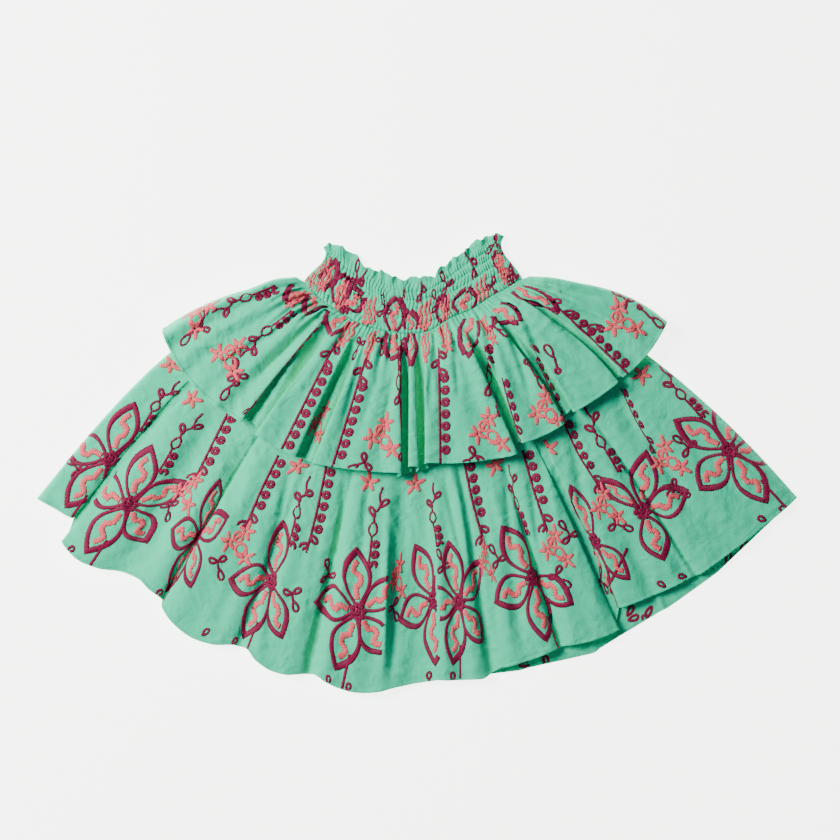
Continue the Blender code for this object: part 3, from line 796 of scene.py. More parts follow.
def chain(length, loops_first):
    """A straight line with rings on its right and teardrops at an end: x is off the line, y is along it."""
    count = int(length / 3) + 2
    stitches = [Stitch(np.column_stack([np.zeros(count), np.linspace(0, length, count)]), 3.8, MAROON)]
    first, last = (38, length - 5) if loops_first else (8, length - 28)
    stitches += [ring(7.2, along, 3.3, 5.6) for along in np.arange(first, last, RING_PITCH)]
    for number, along in enumerate((5, 15, 26) if loops_first else (length - 22, length - 11)):
        stitches.append(loop(0, along, 138 if number % 2 else 42))
    return stitches


def vine(length, rings_first):
    """Three rings, an oval, and a wavy stem with teardrops: x is off the line, y is along it."""
    stitches = [
        ring(6.4, 6, 3.3, 5.4), ring(6.6, 19, 3.3, 5.4), ring(6.0, 32, 3.3, 5.4),
        Stitch(drawn(((0, 0), (0.5, 20), (0, 41))), 3.4, MAROON),
        Stitch(drawn(((0, 41), (4.6, 47), (4.6, 53), (0, 60), (-4.6, 53), (-4.6, 47), (0, 41))), 3.4, MAROON),
        Stitch(drawn(((0, 60), (-2, 70), (3, 82), (-1, 94), (0, 110))), 3.6, MAROON),
        loop(-1, 67, 128), loop(2.5, 81, 52),
    ]
    stretch = (1, length / 110)
    if not rings_first:
        stitches = [stitch._replace(line=stitch.line * (1, -1) + (0, 110)) for stitch in stitches]
    return [stitch._replace(line=stitch.line * stretch) for stitch in stitches]


def tail(length):
    """A stem that ends in a long oval: x is off the line, y is along it."""
    stem = drawn(((0, 0), (2, length * 0.25), (-1, length * 0.5), (0, length - 16)))
    return [Stitch(stem, 3.6, MAROON), loop(0, length - 20, 90, 17.5, 5.0, 3.4), ring(4, 6, 2.8, 4.6)]


# Across a ribbon of stitches: how far off its middle, and how high
RIBBON_THIN = ((-1, 0), (0, 1), (1, 0))
RIBBON_WIDE = ((-1, 0), (-0.62, 0.8), (0, 1), (0.62, 0.8), (1, 0))
# A line at least this wide gets the wide one, and the edges sink this far into the cloth
WIDE_LINE = 3.8
SUNK = 0.08
# How much longer than a step the steps of a line may be before it is divided again
LONGEST_STEP = 1.3


def hem_place(cloth, share, above):
    """The place on a cloth at this share of its width and this far above its hem."""
    column = share * (cloth.points.shape[1] - 1)
    down = cloth.down[:, int(column)]
    return np.array([np.interp(down[-1] - above, down, np.arange(len(down))), column])


def spot(cloth, place, turn=0.0, wide=1.0):
    """Where flat points land round one place on the cloth."""

    def land(points):
        flat = turned(points, turn) * (wide, 1)
        return moved(cloth, np.tile(place, (len(flat), 1)), flat[:, 0], -flat[:, 1])

    return land


def route(cloth, places, wide=1.0, cut=0.0):
    """Where flat points land along a line of places, cut at its start, and its length.

    The points have x off the line and y along it.
    """
    lengths = lengths_along(look_up(cloth.points, places))
    steps = np.gradient(places, axis=0)
    right = look_up(cloth.across_slope, places) * steps[:, 1]
    down = look_up(cloth.down_slope, places) * steps[:, 0]
    ahead = unit(np.column_stack([right, down]))

    def land(points):
        along, off = points[:, 1] - cut, points[:, 0] * wide
        right, down = points_at(along, lengths, ahead).T
        landed, held = moved(cloth, points_at(along, lengths, places), down * off, -right * off)
        return landed, held & (along <= lengths[-1]) & (along >= -0.01)

    return land, lengths[-1] + cut


def ribbon_of(cloth, stitch, land, shows, height, step):
    """The ribbons that a stitch makes on the cloth: their points, their flat points, and whether closed."""
    line = np.asarray(stitch.line, float)
    size = np.broadcast_to(stitch.width, len(line)).astype(float)
    length = lengths_along(line)
    if length[-1] / (len(line) - 1) > step * LONGEST_STEP:
        fine = np.linspace(0, length[-1], int(length[-1] / step) + 2)
        line = points_at(fine, length, line)
        size, length = np.interp(fine, length, size), fine
    along = np.gradient(line, axis=0)
    closed = len(line) > 5 and np.linalg.norm(line[0] - line[-1]) < 0.01
    if closed:
        along[0] = along[-1] = along[0] + along[-1]
    off = -right_of(unit(along)) * size[:, None] / 2
    held, points, flat = np.ones(len(line), bool), [], []
    for side, rise in RIBBON_WIDE if size.max() > WIDE_LINE else RIBBON_THIN:
        places, on_cloth = land(line + off * side)
        seam = np.interp(places[:, 1], np.arange(len(cloth.seams)), cloth.seams)
        held &= on_cloth & (seam >= shows[0]) & (seam <= shows[1])
        lift = rise * height if rise else -SUNK
        points.append(look_up(cloth.points, places) + look_up(cloth.normals, places) * lift)
        flat.append(np.column_stack([length, side * size / 2]))
    points, flat = np.stack(points, axis=1), np.stack(flat, axis=1)
    if closed and held.all():
        return [(points[:-1], flat[:-1], True)]
    edges = np.flatnonzero(np.diff(np.concatenate([[0], held, [0]])))
    return [(points[a:b], flat[a:b], False) for a, b in zip(edges[::2], edges[1::2]) if b - a > 2]


def embroidery(name, cloth, works, heights, finishes, step):
    """Pieces of thread on the cloth, one for each colour: works are stitches, where they land, what shows."""
    pieces = []
    for thread, finish in finishes.items():
        points, faces, lengths, count = [], [], [], 0
        for stitches, land, shows in works:
            for stitch in stitches:
                if stitch.thread != thread:
                    continue
                for ribbon, flat, closed in ribbon_of(cloth, stitch, land, shows, heights[thread], step):
                    rows, columns = ribbon.shape[:2]
                    index = np.arange(rows * columns).reshape(rows, columns) + count
                    following = np.roll(index, -1, axis=0) if closed else index[1:]
                    here = index if closed else index[:-1]
                    quads = [here, following, np.roll(following, -1, axis=1), np.roll(here, -1, axis=1)]
                    faces += np.stack(quads, axis=-1).reshape(-1, 4).tolist()
                    if not closed:
                        faces += [index[0].tolist(), index[-1].tolist()]
                    points.append(ribbon.reshape(-1, 3))
                    lengths.append(flat.reshape(-1, 2))
                    count += rows * columns
        if points:
            points, lengths = np.concatenate(points), np.concatenate(lengths)
            piece = add_piece(f"{name}_{thread}", points, faces, lengths, finish)
            shell = bmesh.new()
            shell.from_mesh(piece.data)
            bmesh.ops.recalc_face_normals(shell, faces=shell.faces)
            shell.to_mesh(piece.data)
            shell.free()
            pieces.append(piece)
    return pieces


def add_piece(name, points, faces, lengths, finish):
    """A smooth piece on the skirt from points and faces in millimetres, with its lengths as UVs in metres."""
    mesh = bpy.data.meshes.new(name)
    mesh.from_pydata((points * MM).tolist(), [], faces)
    corners = [corner for face in faces for corner in face]
    mesh.uv_layers.new(name="cloth").data.foreach_set("uv", (lengths[corners] * MM).reshape(-1))
    mesh.shade_smooth()
    mesh.materials.append(finish)
    piece = bpy.data.objects.new(name, mesh)
    bpy.context.scene.collection.objects.link(piece)
    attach(piece, "root")
    return piece


# Materials

# Poplin's threads are 0.25 mm apart, and are drawn at 1.1 mm so that they show
WEAVE_SCALE = 290.0
# Satin stitch has a thread each 0.35 mm, and is drawn in bundles of 2 mm so that they show
THREAD_SCALE = 157.0
# How much darker and lighter the cotton gets from place to place
MOTTLE_DARK = 0.1
MOTTLE_LIGHT = 0.08
FLOOR_GLOW = 5.0


def linear(colour):
    """A linear colour with alpha from an sRGB hex value."""
    parts = [int(colour[place:place + 2], 16) / 255 for place in (1, 3, 5)]
    return (*[part / 12.92 if part <= 0.04045 else ((part + 0.055) / 1.055) ** 2.4 for part in parts], 1)


def add_node(material, kind, settings=None, **inputs):
    """Adds a node with its settings, and sets or links its inputs."""
    tree = material.node_tree
    node = tree.nodes.new(kind)
    for name, value in (settings or {}).items():
        setattr(node, name, value)
    for name, value in inputs.items():
        key = int(name[1:]) if name[0] == "i" and name[1:].isdigit() else name.replace("_", " ")
        if isinstance(value, bpy.types.NodeSocket):
            tree.links.new(value, node.inputs[key])
        else:
            node.inputs[key].default_value = value
    return node


def new_material(name, **shader_inputs):
    """A material with a Principled shader, and that shader."""
    material = bpy.data.materials.new(name)
    material.use_nodes = True
    shader = material.node_tree.nodes["Principled BSDF"]
    for key, value in shader_inputs.items():
        shader.inputs[key.replace("_", " ")].default_value = value
    return material, shader


def bumped(material, shader, heights):
    """Bumps on a shader, each over the one before: what gives the height, how far and how strong."""
    under = {}
    for height, far, strength in heights:
        bump = add_node(material, "ShaderNodeBump", Height=height, Distance=far, Strength=strength, **under)
        under = {"Normal": bump.outputs["Normal"]}
    material.node_tree.links.new(under["Normal"], shader.inputs["Normal"])


def cotton_poplin(name, colour):
    """Cotton poplin: a close plain weave, matt with a faint bloom, that holds small sharp creases."""
    material, shader = new_material(
        name, Roughness=0.78, Sheen_Weight=0.05, Sheen_Roughness=0.4, Specular_IOR_Level=0.3
    )
    place = add_node(material, "ShaderNodeTexCoord")
    cloth, skirt = place.outputs["UV"], place.outputs["Object"]
    weft, warp = [
        add_node(material, "ShaderNodeTexWave", {"bands_direction": axis}, Vector=cloth, Scale=WEAVE_SCALE)
        for axis in "XY"
    ]
    weave = add_node(
        material, "ShaderNodeMath", {"operation": "MULTIPLY"}, i0=weft.outputs["Fac"], i1=warp.outputs["Fac"]
    )
    # soft folds a hand wide, sharp little creases of 10 to 20 mm, and puckers of 4 mm
    broad = add_node(material, "ShaderNodeTexNoise", Vector=skirt, Scale=26.0, Detail=4.0, Distortion=0.9)
    creases = add_node(
        material, "ShaderNodeTexNoise", {"noise_type": "RIDGED_MULTIFRACTAL"}, Vector=skirt,
        Scale=42.0, Detail=2.0, Roughness=0.5, Distortion=1.2,
    )
    fine = add_node(material, "ShaderNodeTexNoise", Vector=skirt, Scale=220.0, Detail=3.0, Distortion=0.4)
    dark, light = [
        (*[min(part * change, 1) for part in linear(colour)[:3]], 1)
        for change in (1 - MOTTLE_DARK, 1 + MOTTLE_LIGHT)
    ]
    share = fine.outputs["Fac"]
    tone = add_node(material, "ShaderNodeMix", {"data_type": "RGBA"}, i0=share, i6=dark, i7=light)
    material.node_tree.links.new(tone.outputs[2], shader.inputs["Base Color"])
    bumped(material, shader, (
        (broad.outputs["Fac"], 0.006, 0.65),
        (creases.outputs["Fac"], 0.0016, 0.8),
        (fine.outputs["Fac"], 0.0006, 0.6),
        (weave.outputs[0], 0.0001, 0.5),
    ))
    return material


def rayon_satin_stitch(name, colour, shade):
    """Rayon embroidery thread in satin stitch: close threads across each line, with dark painted shade in the
    gaps between.
    """
    material, shader = new_material(name, Roughness=0.55, Specular_IOR_Level=0.25)
    place = add_node(material, "ShaderNodeTexCoord")
    threads = add_node(
        material, "ShaderNodeTexWave", {"bands_direction": "X"}, Vector=place.outputs["UV"],
        Scale=THREAD_SCALE, Distortion=2.5, Detail=2.0,
    )
    patchy = add_node(material, "ShaderNodeTexNoise", Vector=place.outputs["Object"], Scale=420.0, Detail=2.0)
    # bright where the threads are thick, and a darker painted shade colour in the gaps between the threads
    # and in random patches
    depth = add_node(
        material, "ShaderNodeMath", {"operation": "MULTIPLY"},
        i0=threads.outputs["Fac"], i1=patchy.outputs["Fac"],
    )
    spread = add_node(
        material, "ShaderNodeMath", {"operation": "MULTIPLY", "use_clamp": True}, i0=depth.outputs[0], i1=2.4
    )
    tone = add_node(
        material, "ShaderNodeMix", {"data_type": "RGBA"},
        i0=spread.outputs[0], i6=linear(shade), i7=linear(colour),
    )
    material.node_tree.links.new(tone.outputs[2], shader.inputs["Base Color"])
    bumped(material, shader, [(threads.outputs["Fac"], 0.0004, 0.8)])
    return material


def pale_floor(name, colour):
    """Plain matt acrylic, lit a little from behind as a light table is, so it stays pale round the cloth."""
    paint = linear(colour)
    return new_material(
        name, Roughness=0.9, Base_Color=paint, Emission_Color=paint, Emission_Strength=FLOOR_GLOW
    )[0]


# Where the embroidery lies, in the photograph's frame of 840 by 840


def seen(*pairs):
    """Places in the photograph's frame, as millimetres on the skirt."""
    return [((across - 417) * 1.2, (463 - down) * 1.2) for across, down in pairs]


# A motif: its middle, how far it is turned, how much narrower it is, which shares of the seam it shows
# between, and which petals a fold hides
Spot = namedtuple("Spot", "x y turn wide first last gone", defaults=(0, 1, 0, 1, ()))
# A single petal that a seam or a fold parts from its flower: its two ends, half its width, and how much of
# it is hidden
Leaf = namedtuple("Leaf", "x0 y0 x1 y1 half cut")
LOWER_FLOWERS = rows_of(
    Spot,
    (112, 459, 8, 0.95, 0, 0.065), (131.4, 503.5, 8, 1, 0.062, 1), (199, 536.5, 10, 0.62),
    (272.8, 580, 3, 0.85, 0, 0.388, (4,)), (358.2, 610.4, 0, 1, 0, 0.4745), (433, 599, 12, 0.72, 0, 0.54),
    (459, 601, -4, 0.7, 0.54, 1), (532.6, 575.7, 8, 0.9, 0, 1, (4,)), (594, 541, -12, 0.66, 0, 1, (1, 4)),
    (641.4, 510.3, -48, 0.98, 0, 1, (1, 2)), (727.5, 450, 8, 0.95),
)
LOWER_SPRIGS = rows_of(
    Spot,
    (189, 492, 10, 0.75), (241, 544, 10, 0.95), (311, 568, 6, 0.9, 0.388, 1), (398, 578, 0, 0.5, 0.4745, 1),
    (486, 562, 0, 0.4), (556, 548, -8, 0.8), (606, 506, -10, 0.75), (668, 459, -14, 0.9),
)
LOWER_TENDRILS = rows_of(
    Spot,
    (219, 560, 200), (293, 592, 190), (328, 576, 0), (393, 605, 190, 0.7, 0.4745, 1), (443, 566, 0, 0.7),
    (498, 560, 0, 0.8), (555, 573, 190), (569, 536, -10), (614, 522, 200), (672, 488, 190), (687, 448, -10),
    (600, 578, 170), (80, 470, 60), (170, 505, 190, 0.8),
)
LOWER_LEAVES = (Leaf(637, 507, 598, 477, 9, 4),)
LOWER_STARS = rows_of(
    Spot,
    (172, 365), (193, 399, 20), (298, 466), (369, 482, 10), (415, 484), (495, 465), (548, 449), (641, 375),
)
UPPER_FULL_SPRIGS = rows_of(
    Spot,
    (200, 316, 25, 0.9), (232, 358, 25), (320, 424, 10, 0.5), (384, 437, 5, 0.95), (489, 432, -5, 0.95),
    (546, 411, -15, 0.9), (622, 322, -30),
)
UPPER_SEAM_SPRIGS = rows_of(
    Spot,
    (347, 334, 10, 0.7), (371, 345, 10, 0.55), (425, 348, 0, 0.5), (445, 338, 0, 0.75),
    (488, 332, -10, 0.5), (297, 299, 40, 0.7),
)
UPPER_TENDRILS = rows_of(
    Spot,
    (239, 377, 30), (203, 330, 40), (382, 340, 180, 0.7), (492, 326, 180), (625, 303, -40),
    (361, 343, 150, 0.5), (366, 462, 100), (475, 455, 100),
)
BAND_SPRIGS = rows_of(
    Spot,
    (323, 276, 25, 0.8), (341, 299, 20, 0.5), (369, 315, 12, 0.8), (425, 318, 0, 0.8), (482, 295, -8, 0.8),
    (501, 270, -10, 0.5), (446, 314, 0, 0.6), (309, 288, 30, 0.5),
)
BAND_TENDRILS = rows_of(
    Spot,
    (356, 281, 0, 0.9), (384, 312, 0, 0.8), (437, 305, 0, 0.8), (491, 285, 180, 0.8), (447, 287, 0, 0.9),
    (496, 243, 90, 0.9), (330, 284, 30, 0.8),
)
BAND_EYES = (Spot(512, 281), Spot(344, 311, 0, 0.6))
# Small ends of the motifs that the hem cuts off
HEM_LOOPS = rows_of(
    Spot,
    (65, 555, 60), (157, 594, 60), (232, 648, 80), (328, 683, 90), (347, 693, 80), (429, 679, 90),
    (453, 680, 90), (664, 586, 120), (685, 576, 150), (764, 520, 120), (788, 510, 150), (204, 634, 70),
)
# Ends of motifs on the inside of the back, where it reaches past the front's hem
INSIDE_LOOPS = rows_of(
    Spot,
    (630, 611, 30), (649, 611, 210), (633, 618, 350), (728, 558, 30), (744, 545, 210), (522, 657, 80),
    (531, 650, 90), (524, 664, 0), (546, 661, 90), (646, 620, 100),
)
# A run of motifs: where it starts at the top, a place that it passes, where it ends, how much narrower it is
Run = namedtuple("Run", "x0 y0 x1 y1 x2 y2 wide", defaults=(1,))
LOWER_CHAINS = rows_of(
    Run,
    (229, 412, 212, 446, 194, 482), (279, 455, 262, 490, 245, 530), (327, 464, 318, 508, 307, 552),
    (464, 462, 472, 500, 484, 544), (522, 450, 534, 492, 547, 532), (562, 420, 579, 456, 602, 492, 0.8),
    (620, 388, 636, 422, 655, 453, 0.45),
)
LOWER_VINES = rows_of(
    Run,
    (183, 380, 160, 402, 139, 433), (206, 412, 181, 438, 158, 474), (312, 474, 300, 504, 289, 545),
    (384, 484, 374, 524, 368, 568), (433.7, 480, 432.7, 517, 437, 548, 0.8),
    (508, 462, 515, 499, 527, 537, 0.6), (583, 402, 598, 438, 618, 474), (657, 362, 677, 391, 702, 420),
)
UPPER_CHAINS = rows_of(
    Run,
    (337, 342, 310, 395, 283, 449), (367, 357, 350, 412, 332, 470), (438.4, 348, 439.5, 406, 440, 463),
    (546, 299, 586, 336, 626, 374),
)
UPPER_FOLDED_CHAINS = rows_of(
    Run,
    (326, 318, 288, 364, 246, 416, 0.4), (501, 378, 510, 412, 521, 446, 0.6),
    (528, 345, 547, 384, 567, 422, 0.5), (401, 340, 400, 400, 403, 462, 0.4),
)
UPPER_VINES = rows_of(
    Run,
    (278, 286, 245, 300, 212, 315), (294, 310, 268, 332, 240, 360), (398, 345, 399, 384, 402, 430, 0.7),
    (483, 345, 490, 384, 500, 420),
)
UPPER_TAILS = rows_of(
    Run,
    (200, 322, 193, 334, 182, 347), (238, 378, 231, 388, 223, 402), (562, 374, 553, 360, 543, 344),
    (604, 326, 594, 328, 584, 330), (632, 308, 647, 317, 663, 329), (520, 362, 530, 370, 545, 390),
)
BAND_CHAINS = rows_of(
    Run,
    (368, 270, 360, 280, 351, 291, 0.7), (421, 282, 421, 292, 421, 304, 0.6),
    (464, 253, 471, 263, 478, 277, 0.7), (404, 284, 403, 294, 402, 308, 0.3),
    (508, 258, 511, 266, 514, 274, 0.5), (336, 258, 328, 268, 318, 280, 0.4),
)
UPPER_LEAVES = rows_of(
    Leaf,
    (302, 291, 283, 304, 14, 25), (319, 298, 304, 317, 13, 28), (343, 311, 331, 338, 15, 25),
    (404, 320, 387, 361, 15, 12), (411, 332, 412, 369, 7, 12), (471, 318, 466, 360, 14, 14),
    (493, 309, 521, 325, 15, 16), (516, 288, 560, 311, 13, 20),
)
BAND_LEAVES = rows_of(
    Leaf,
    (334, 305, 349, 274, 12, 4), (343, 306, 366, 294, 14, 4), (393, 336, 396, 295, 13, 8),
    (411, 331, 411, 308, 10, 12), (463, 316, 466, 286, 17, 8), (444, 322, 439, 294, 9, 8),
    (508, 276, 496, 248, 12, 10), (322, 292, 337, 258, 9, 6),
)
# The border on a hidden side: how many times it repeats, how far its flowers and sprigs are above the hem,
# and between which heights its chains and vines run, from the top down
BACK_REPEATS = 12
LOWER_BACK_BORDER = (112, 150, (345, 185))
UPPER_BACK_BORDER = (0, 32, (180, 62))


# Properties


def length_property(name, description, default):
    """A length in metres."""
    return bpy.props.FloatProperty(
        name=name, description=description, default=default, min=0.0001, unit="LENGTH"
    )


def colour_property(name, what, default):
    """An sRGB hex colour."""
    return bpy.props.StringProperty(name=name, description="sRGB hex colour of " + what, default=default)


class SkirtCloth(bpy.types.PropertyGroup):
    """Sizes and colours of the cotton."""

    wall: length_property("Wall", "Thickness of the cotton", 0.0005)
    band_wall: length_property("Band wall", "Thickness of the shirred band", 0.0012)
    hem: length_property("Hem", "Depth of the folded hem", 0.0035)
    cotton: colour_property("Cotton", "the cotton", "#0CD39C")


class SkirtThread(bpy.types.PropertyGroup):
    """Colours and height of the embroidery."""

    # Each shade colour here is painted shade: a darker colour for the gaps between the threads
    maroon: colour_property("Maroon", "the outlines", "#9C0848")
    maroon_painted_shade: colour_property("Maroon shade", "the gaps in the outlines", "#4A021D")
    coral: colour_property("Coral", "the fillings", "#FF7075")
    coral_painted_shade: colour_property("Coral shade", "the gaps in the fillings", "#D03A44")
    hem_thread: colour_property("Hem thread", "the hem's stitches", "#1FAE7E")
    hem_painted_shade: colour_property("Hem shade", "the gaps in the hem's stitches", "#128A60")
    height: length_property("Height", "How high the satin stitch stands", 0.0007)


class SkirtStage(bpy.types.PropertyGroup):
    """Camera, light and floor."""

    camera_height: length_property("Camera height", "Height of the camera above the floor", 2.4)
    floor: colour_property("Floor", "the floor", "#F3F4EF")


# Operators

FINISHES = {}
# How much higher the coral fillings stand than the outlines
CORAL_LIFT = 1.2
# How high the thread stands on the backs, inside and on the band, in mm
BACK_HEIGHTS = {MAROON: 0.3, CORAL: 0.36}
INSIDE_HEIGHTS = {MAROON: 0.3}
BAND_HEIGHTS = {"front": {MAROON: 0.6, CORAL: 0.7}, "back": {MAROON: 0.3, CORAL: 0.3}}
# The longest steps of a stitch's line on the fronts, the backs and the band
FRONT_STEP = 3.0
BACK_STEP = 4.5
BAND_STEP = 1.2
# The stitches of a hem: from one to the next, how long and wide they are, and how high they stand
HEM_PITCH = 3.3
HEM_STITCH = 2.0
HEM_STITCH_WIDTH = 0.7
HEM_STITCH_HEIGHT = 0.25
# A tier's rows for rows_to_hem, which are the hidden share, its rows, the rows below it and the length of the
# cloth, and the points from one fold line to the next
Rows = namedtuple("Rows", "hidden hidden_rows rows length per_line")
LOWER_FRONT_ROWS = Rows(0.4, 14, 86, 450, 6)
LOWER_BACK_ROWS = Rows(0, 0, 60, 450, 6)
UPPER_FRONT_ROWS = Rows(0, 0, 92, 200, 8)
UPPER_BACK_ROWS = Rows(0, 0, 40, 200, 6)
# A side of the band: how many gathers it has, and its rows of points
BAND_SIDES = {"front": (62, 60), "back": (50, 36)}


def finish_of(context, kind):
    """A material of the skirt, made once."""
    cloth, thread = context.scene.skirt_cloth, context.scene.skirt_thread
    if kind not in FINISHES:
        FINISHES[kind] = {
            "cotton": lambda: cotton_poplin("cotton_poplin", cloth.cotton),
            # each thread's second colour is its painted shade, for the gaps between its threads
            MAROON: lambda: rayon_satin_stitch("maroon_rayon_thread", thread.maroon, thread.maroon_painted_shade),
            CORAL: lambda: rayon_satin_stitch("coral_rayon_thread", thread.coral, thread.coral_painted_shade),
            "hem": lambda: rayon_satin_stitch("green_sewing_thread", thread.hem_thread, thread.hem_painted_shade),
        }[kind]()
    return FINISHES[kind]


def hem_stitches(name, cloth, hem, finish):
    """Small stitches along the folded hem."""

    def land(points):
        start = np.tile((len(cloth.points) - 1.0, 0.0), (len(points), 1))
        return moved(cloth, start, points[:, 0], -points[:, 1])

    dash = np.column_stack([np.linspace(0, HEM_STITCH, 3), np.full(3, hem + HEM_STITCH_ABOVE)])
    starts = np.arange(3, cloth.across[-1, -1] - 4, HEM_PITCH)
    dashes = [Stitch(dash + (start, 0), HEM_STITCH_WIDTH, "hem") for start in starts]
    works = [(dashes, land, EVERYWHERE)]
    return embroidery(name, cloth, works, {"hem": HEM_STITCH_HEIGHT}, {"hem": finish}, FRONT_STEP)


def inside_of(cloth, wall):
    """The other face of a cloth."""
    return cloth._replace(points=cloth.points - cloth.normals * wall, normals=-cloth.normals)


def dress(context, name, cloth, works, heights, wall, step, inside=()):
    """One cloth of the skirt with its embroidery, in place of its solid."""
    piece = closed_sheet(name + "_cotton", cloth, wall, finish_of(context, "cotton"))
    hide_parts(name)
    threads = {thread: finish_of(context, thread) for thread in (MAROON, CORAL)}
    sewn = embroidery(name, cloth, works, heights, threads, step)
    if inside:
        other = inside_of(cloth, wall)
        marks = spots(other, inside, lambda: [loop(-6, 0, 0)])
        finishes = {MAROON: threads[MAROON]}
        sewn += embroidery(name + "_inside", other, marks, INSIDE_HEIGHTS, finishes, FRONT_STEP)
    if "tier" in name:
        hem = context.scene.skirt_cloth.hem / MM
        sewn += hem_stitches(name + "_stitches", cloth, hem, finish_of(context, "hem"))


def dress_tier(context, tier, side, pleats, rows, works_on, creases=(), ramps=(), inside=()):
    """One side of a tier, hung in its folds, hemmed and embroidered."""
    is_front = side == "front"
    sizes, height = context.scene.skirt_cloth, context.scene.skirt_thread.height / MM
    hem = sizes.hem / MM
    shares = rows_to_hem(rows.hidden, rows.hidden_rows, rows.rows, rows.length, hem)
    cloth = tier_cloth(tier, is_front, pleats, shares, rows.per_line, creases, ramps)
    cloth = hemmed(cloth, hem, is_front)
    heights = {MAROON: height, CORAL: height * CORAL_LIFT} if is_front else BACK_HEIGHTS
    step = FRONT_STEP if is_front else BACK_STEP
    dress(context, f"{tier}_tier_{side}", cloth, works_on(cloth), heights, sizes.wall / MM, step, inside)


def spots(cloth, rows, draw):
    """The same motif at each row's place."""
    places = place_under(cloth, seen(*[(row.x, row.y) for row in rows]))
    works = []
    for row, place in zip(rows, places):
        motif = draw(row.gone) if row.gone else draw()
        works.append((motif, spot(cloth, place, row.turn, row.wide), (row.first, row.last)))
    return works


def runs(cloth, rows, draw, **options):
    """A chain, a vine or a tail along each row's line."""
    works = []
    for row in rows:
        places = place_under(cloth, drawn(seen((row.x0, row.y0), (row.x1, row.y1), (row.x2, row.y2)), 5.0))
        land, length = route(cloth, places, row.wide)
        works.append((draw(length, **options), land, EVERYWHERE))
    return works


def leaves(cloth, rows):
    """Single petals, each from its hidden end to its corner."""
    works = []
    for number, row in enumerate(rows):
        places = place_under(cloth, drawn(seen((row.x0, row.y0), (row.x1, row.y1)), 5.0))
        land, length = route(cloth, places, 1.0, row.cut)
        works.append((petal(90, length - 3, row.half, number), land, EVERYWHERE))
    return works


def hidden_border(cloth, flower_above, sprig_above, span):
    """The border on a hidden side: flowers, where it has them, sprigs, and chains and vines over them."""
    works = []
    for number in range(BACK_REPEATS):
        share = (number + 0.5) / BACK_REPEATS
        lean = 10 * math.sin(2.7 * number)
        if flower_above:
            land = spot(cloth, hem_place(cloth, share, flower_above), lean, 0.85)
            works.append((flower(), land, EVERYWHERE))
        land = spot(cloth, hem_place(cloth, share + 0.04, sprig_above), lean, 0.7)
        works.append((sprig(), land, EVERYWHERE))
        for column, draw in ((share - 0.02, chain), (share + 0.02, vine)):
            places = np.array([hem_place(cloth, column, above) for above in np.linspace(*span, 12)])
            land, length = route(cloth, places)
            works.append((draw(length, False), land, EVERYWHERE))
    return works


def lower_border(cloth):
    """The lower tier's flowers, sprigs, stars and tendrils, and the runs above them."""
    works = spots(cloth, LOWER_FLOWERS, flower) + spots(cloth, LOWER_SPRIGS, sprig)
    works += spots(cloth, LOWER_STARS, lambda: star(0, 0, 15)) + spots(cloth, LOWER_TENDRILS, tendril)
    works += spots(cloth, HEM_LOOPS, lambda: [loop(0, 0, 0, 9.5, 3.2, 3.8)]) + leaves(cloth, LOWER_LEAVES)
    works += runs(cloth, LOWER_CHAINS, chain, loops_first=False)
    return works + runs(cloth, LOWER_VINES, vine, rings_first=False)


def upper_border(cloth):
    """The upper tier's sprigs along the hem, what the seam leaves of others, and the runs between."""
    works = spots(cloth, UPPER_FULL_SPRIGS, sprig) + spots(cloth, UPPER_SEAM_SPRIGS, tuft)
    works += leaves(cloth, UPPER_LEAVES) + spots(cloth, UPPER_TENDRILS, tendril)
    works += runs(cloth, UPPER_CHAINS, chain, loops_first=True)
    works += runs(cloth, UPPER_FOLDED_CHAINS, chain, loops_first=False)
    return works + runs(cloth, UPPER_VINES, vine, rings_first=True) + runs(cloth, UPPER_TAILS, tail)


def band_border(cloth):
    """The motifs that the shirring has drawn together on the band."""
    works = spots(cloth, BAND_SPRIGS, tuft) + leaves(cloth, BAND_LEAVES)
    works += spots(cloth, BAND_TENDRILS, tendril) + spots(cloth, BAND_EYES, eye)
    return works + runs(cloth, BAND_CHAINS, chain, loops_first=False)


class SKIRT_OT_lower_tier(bpy.types.Operator):
    """Hang the long lower tier, front and back, with its border of flowers"""

    bl_idname = "skirt.lower_tier"
    bl_label = "Lower tier"

    def execute(self, context):
        dress_tier(context, "lower", "front", LOWER_FRONT, LOWER_FRONT_ROWS, lower_border, LOWER_CREASES)
        dress_tier(
            context, "lower", "back", LOWER_BACK, LOWER_BACK_ROWS,
            lambda cloth: hidden_border(cloth, *LOWER_BACK_BORDER), inside=INSIDE_LOOPS,
        )
        return {"FINISHED"}


class SKIRT_OT_upper_tier(bpy.types.Operator):
    """Hang the short upper tier, front and back, with its chains and vines"""

    bl_idname = "skirt.upper_tier"
    bl_label = "Upper tier"

    def execute(self, context):
        dress_tier(
            context, "upper", "front", UPPER_FRONT, UPPER_FRONT_ROWS, upper_border, UPPER_CREASES, UPPER_RAMPS
        )
        dress_tier(
            context, "upper", "back", UPPER_BACK, UPPER_BACK_ROWS,
            lambda cloth: hidden_border(cloth, *UPPER_BACK_BORDER),
        )
        return {"FINISHED"}


class SKIRT_OT_waistband(bpy.types.Operator):
    """Shir the waistband and its frill, front and back"""

    bl_idname = "skirt.waistband"
    bl_label = "Waistband"

    def execute(self, context):
        wall = context.scene.skirt_cloth.band_wall / MM
        for side, (gathers, rows) in BAND_SIDES.items():
            cloth = band_cloth(side == "front", gathers, rows)
            works = band_border(cloth)
            dress(context, "waistband_" + side, cloth, works, BAND_HEIGHTS[side], wall, BAND_STEP)
        return {"FINISHED"}


VIEW_CENTRE = (0.0036, 0.0516)
VIEW_WIDTH = 1.008
SENSOR_WIDTH = 36
FLOOR_SIZE = 6
# The floor lies this far below the skirt, so that the two never touch
FLOOR_DROP = 0.0003
SKY = "#9DBBFF"
SKY_STRENGTH = 0.11
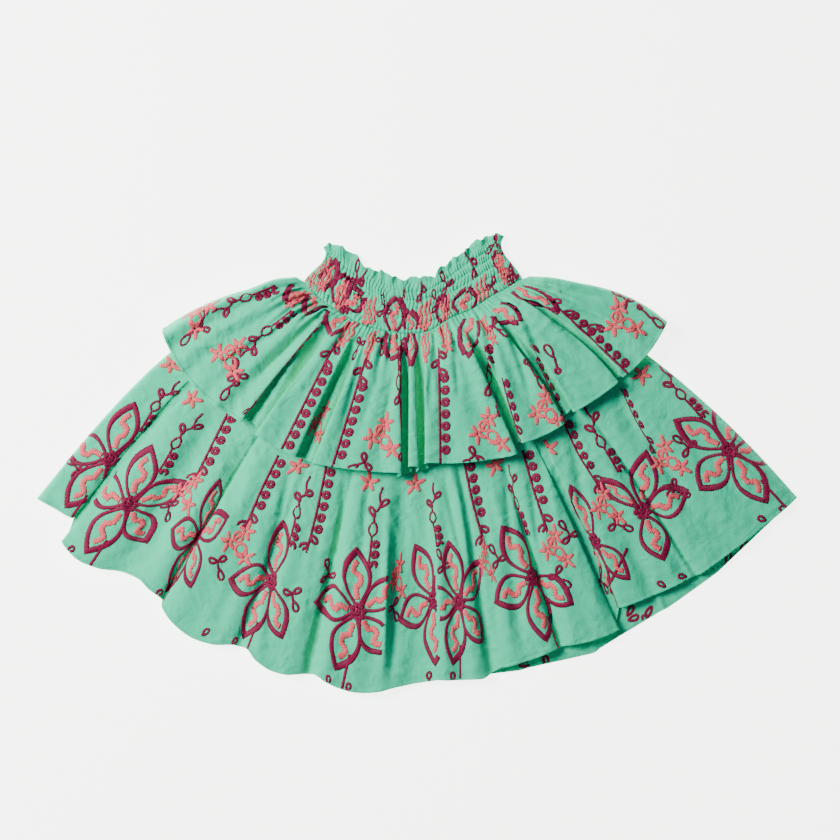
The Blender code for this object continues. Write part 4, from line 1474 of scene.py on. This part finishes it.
# A light: its name, its place in metres, its width in metres and its power in watts; it shines at the skirt
Light = namedtuple("Light", "name place width power")
LIGHTS = (
    Light("window", (-1.75, 0.7, 1.7), 1.1, 138),
    Light("ceiling", (0.5, -0.3, 2.6), 2.0, 6),
)


class SKIRT_OT_stage(bpy.types.Operator):
    """Lay the floor, hang the lights and point the camera straight down"""

    bl_idname = "skirt.stage"
    bl_label = "Stage"

    def execute(self, context):
        stage = context.scene.skirt_stage
        for other in context.selected_objects:
            other.select_set(False)
        bpy.ops.mesh.primitive_plane_add(size=FLOOR_SIZE, location=(0, 0, -FLOOR_DROP))
        floor = context.active_object
        floor.name = "floor"
        floor.data.materials.append(pale_floor("floor_paint", stage.floor))
        camera = bpy.data.objects.new("camera", bpy.data.cameras.new("camera"))
        camera.location = (*VIEW_CENTRE, stage.camera_height)
        camera.data.sensor_width = SENSOR_WIDTH
        camera.data.lens = SENSOR_WIDTH * stage.camera_height / VIEW_WIDTH
        context.scene.collection.objects.link(camera)
        context.scene.camera = camera
        for light in LIGHTS:
            lamp = bpy.data.objects.new(light.name, bpy.data.lights.new(light.name, "AREA"))
            lamp.data.energy = light.power
            lamp.data.size = light.width
            lamp.location = light.place
            lamp.rotation_euler = (-lamp.location).to_track_quat("-Z", "Y").to_euler()
            context.scene.collection.objects.link(lamp)
        world = bpy.data.worlds.new("soft_room")
        world.use_nodes = True
        background = world.node_tree.nodes["Background"]
        background.inputs["Color"].default_value = linear(SKY)
        background.inputs["Strength"].default_value = SKY_STRENGTH
        context.scene.world = world
        return {"FINISHED"}


class SKIRT_PT_panel(bpy.types.Panel):
    """The skirt's pieces, in the order in which they are made"""

    bl_label = "Skirt"
    bl_idname = "SKIRT_PT_panel"
    bl_space_type = "VIEW_3D"
    bl_region_type = "UI"
    bl_category = "Skirt"

    def draw(self, context):
        for operator in OPERATORS:
            self.layout.operator(operator.bl_idname)


GROUPS = {"skirt_cloth": SkirtCloth, "skirt_thread": SkirtThread, "skirt_stage": SkirtStage}
OPERATORS = (SKIRT_OT_stage, SKIRT_OT_lower_tier, SKIRT_OT_upper_tier, SKIRT_OT_waistband)


def register():
    for name, group in GROUPS.items():
        bpy.utils.register_class(group)
        setattr(bpy.types.Scene, name, bpy.props.PointerProperty(type=group))
    for item in (*OPERATORS, SKIRT_PT_panel):
        bpy.utils.register_class(item)


def unregister():
    for item in reversed((*OPERATORS, SKIRT_PT_panel)):
        bpy.utils.unregister_class(item)
    for name, group in reversed(GROUPS.items()):
        delattr(bpy.types.Scene, name)
        bpy.utils.unregister_class(group)


def main():
    register()
    bpy.ops.skirt.stage()
    bpy.ops.skirt.lower_tier()
    bpy.ops.skirt.upper_tier()
    bpy.ops.skirt.waistband()


if __name__ == "__main__":
    main()
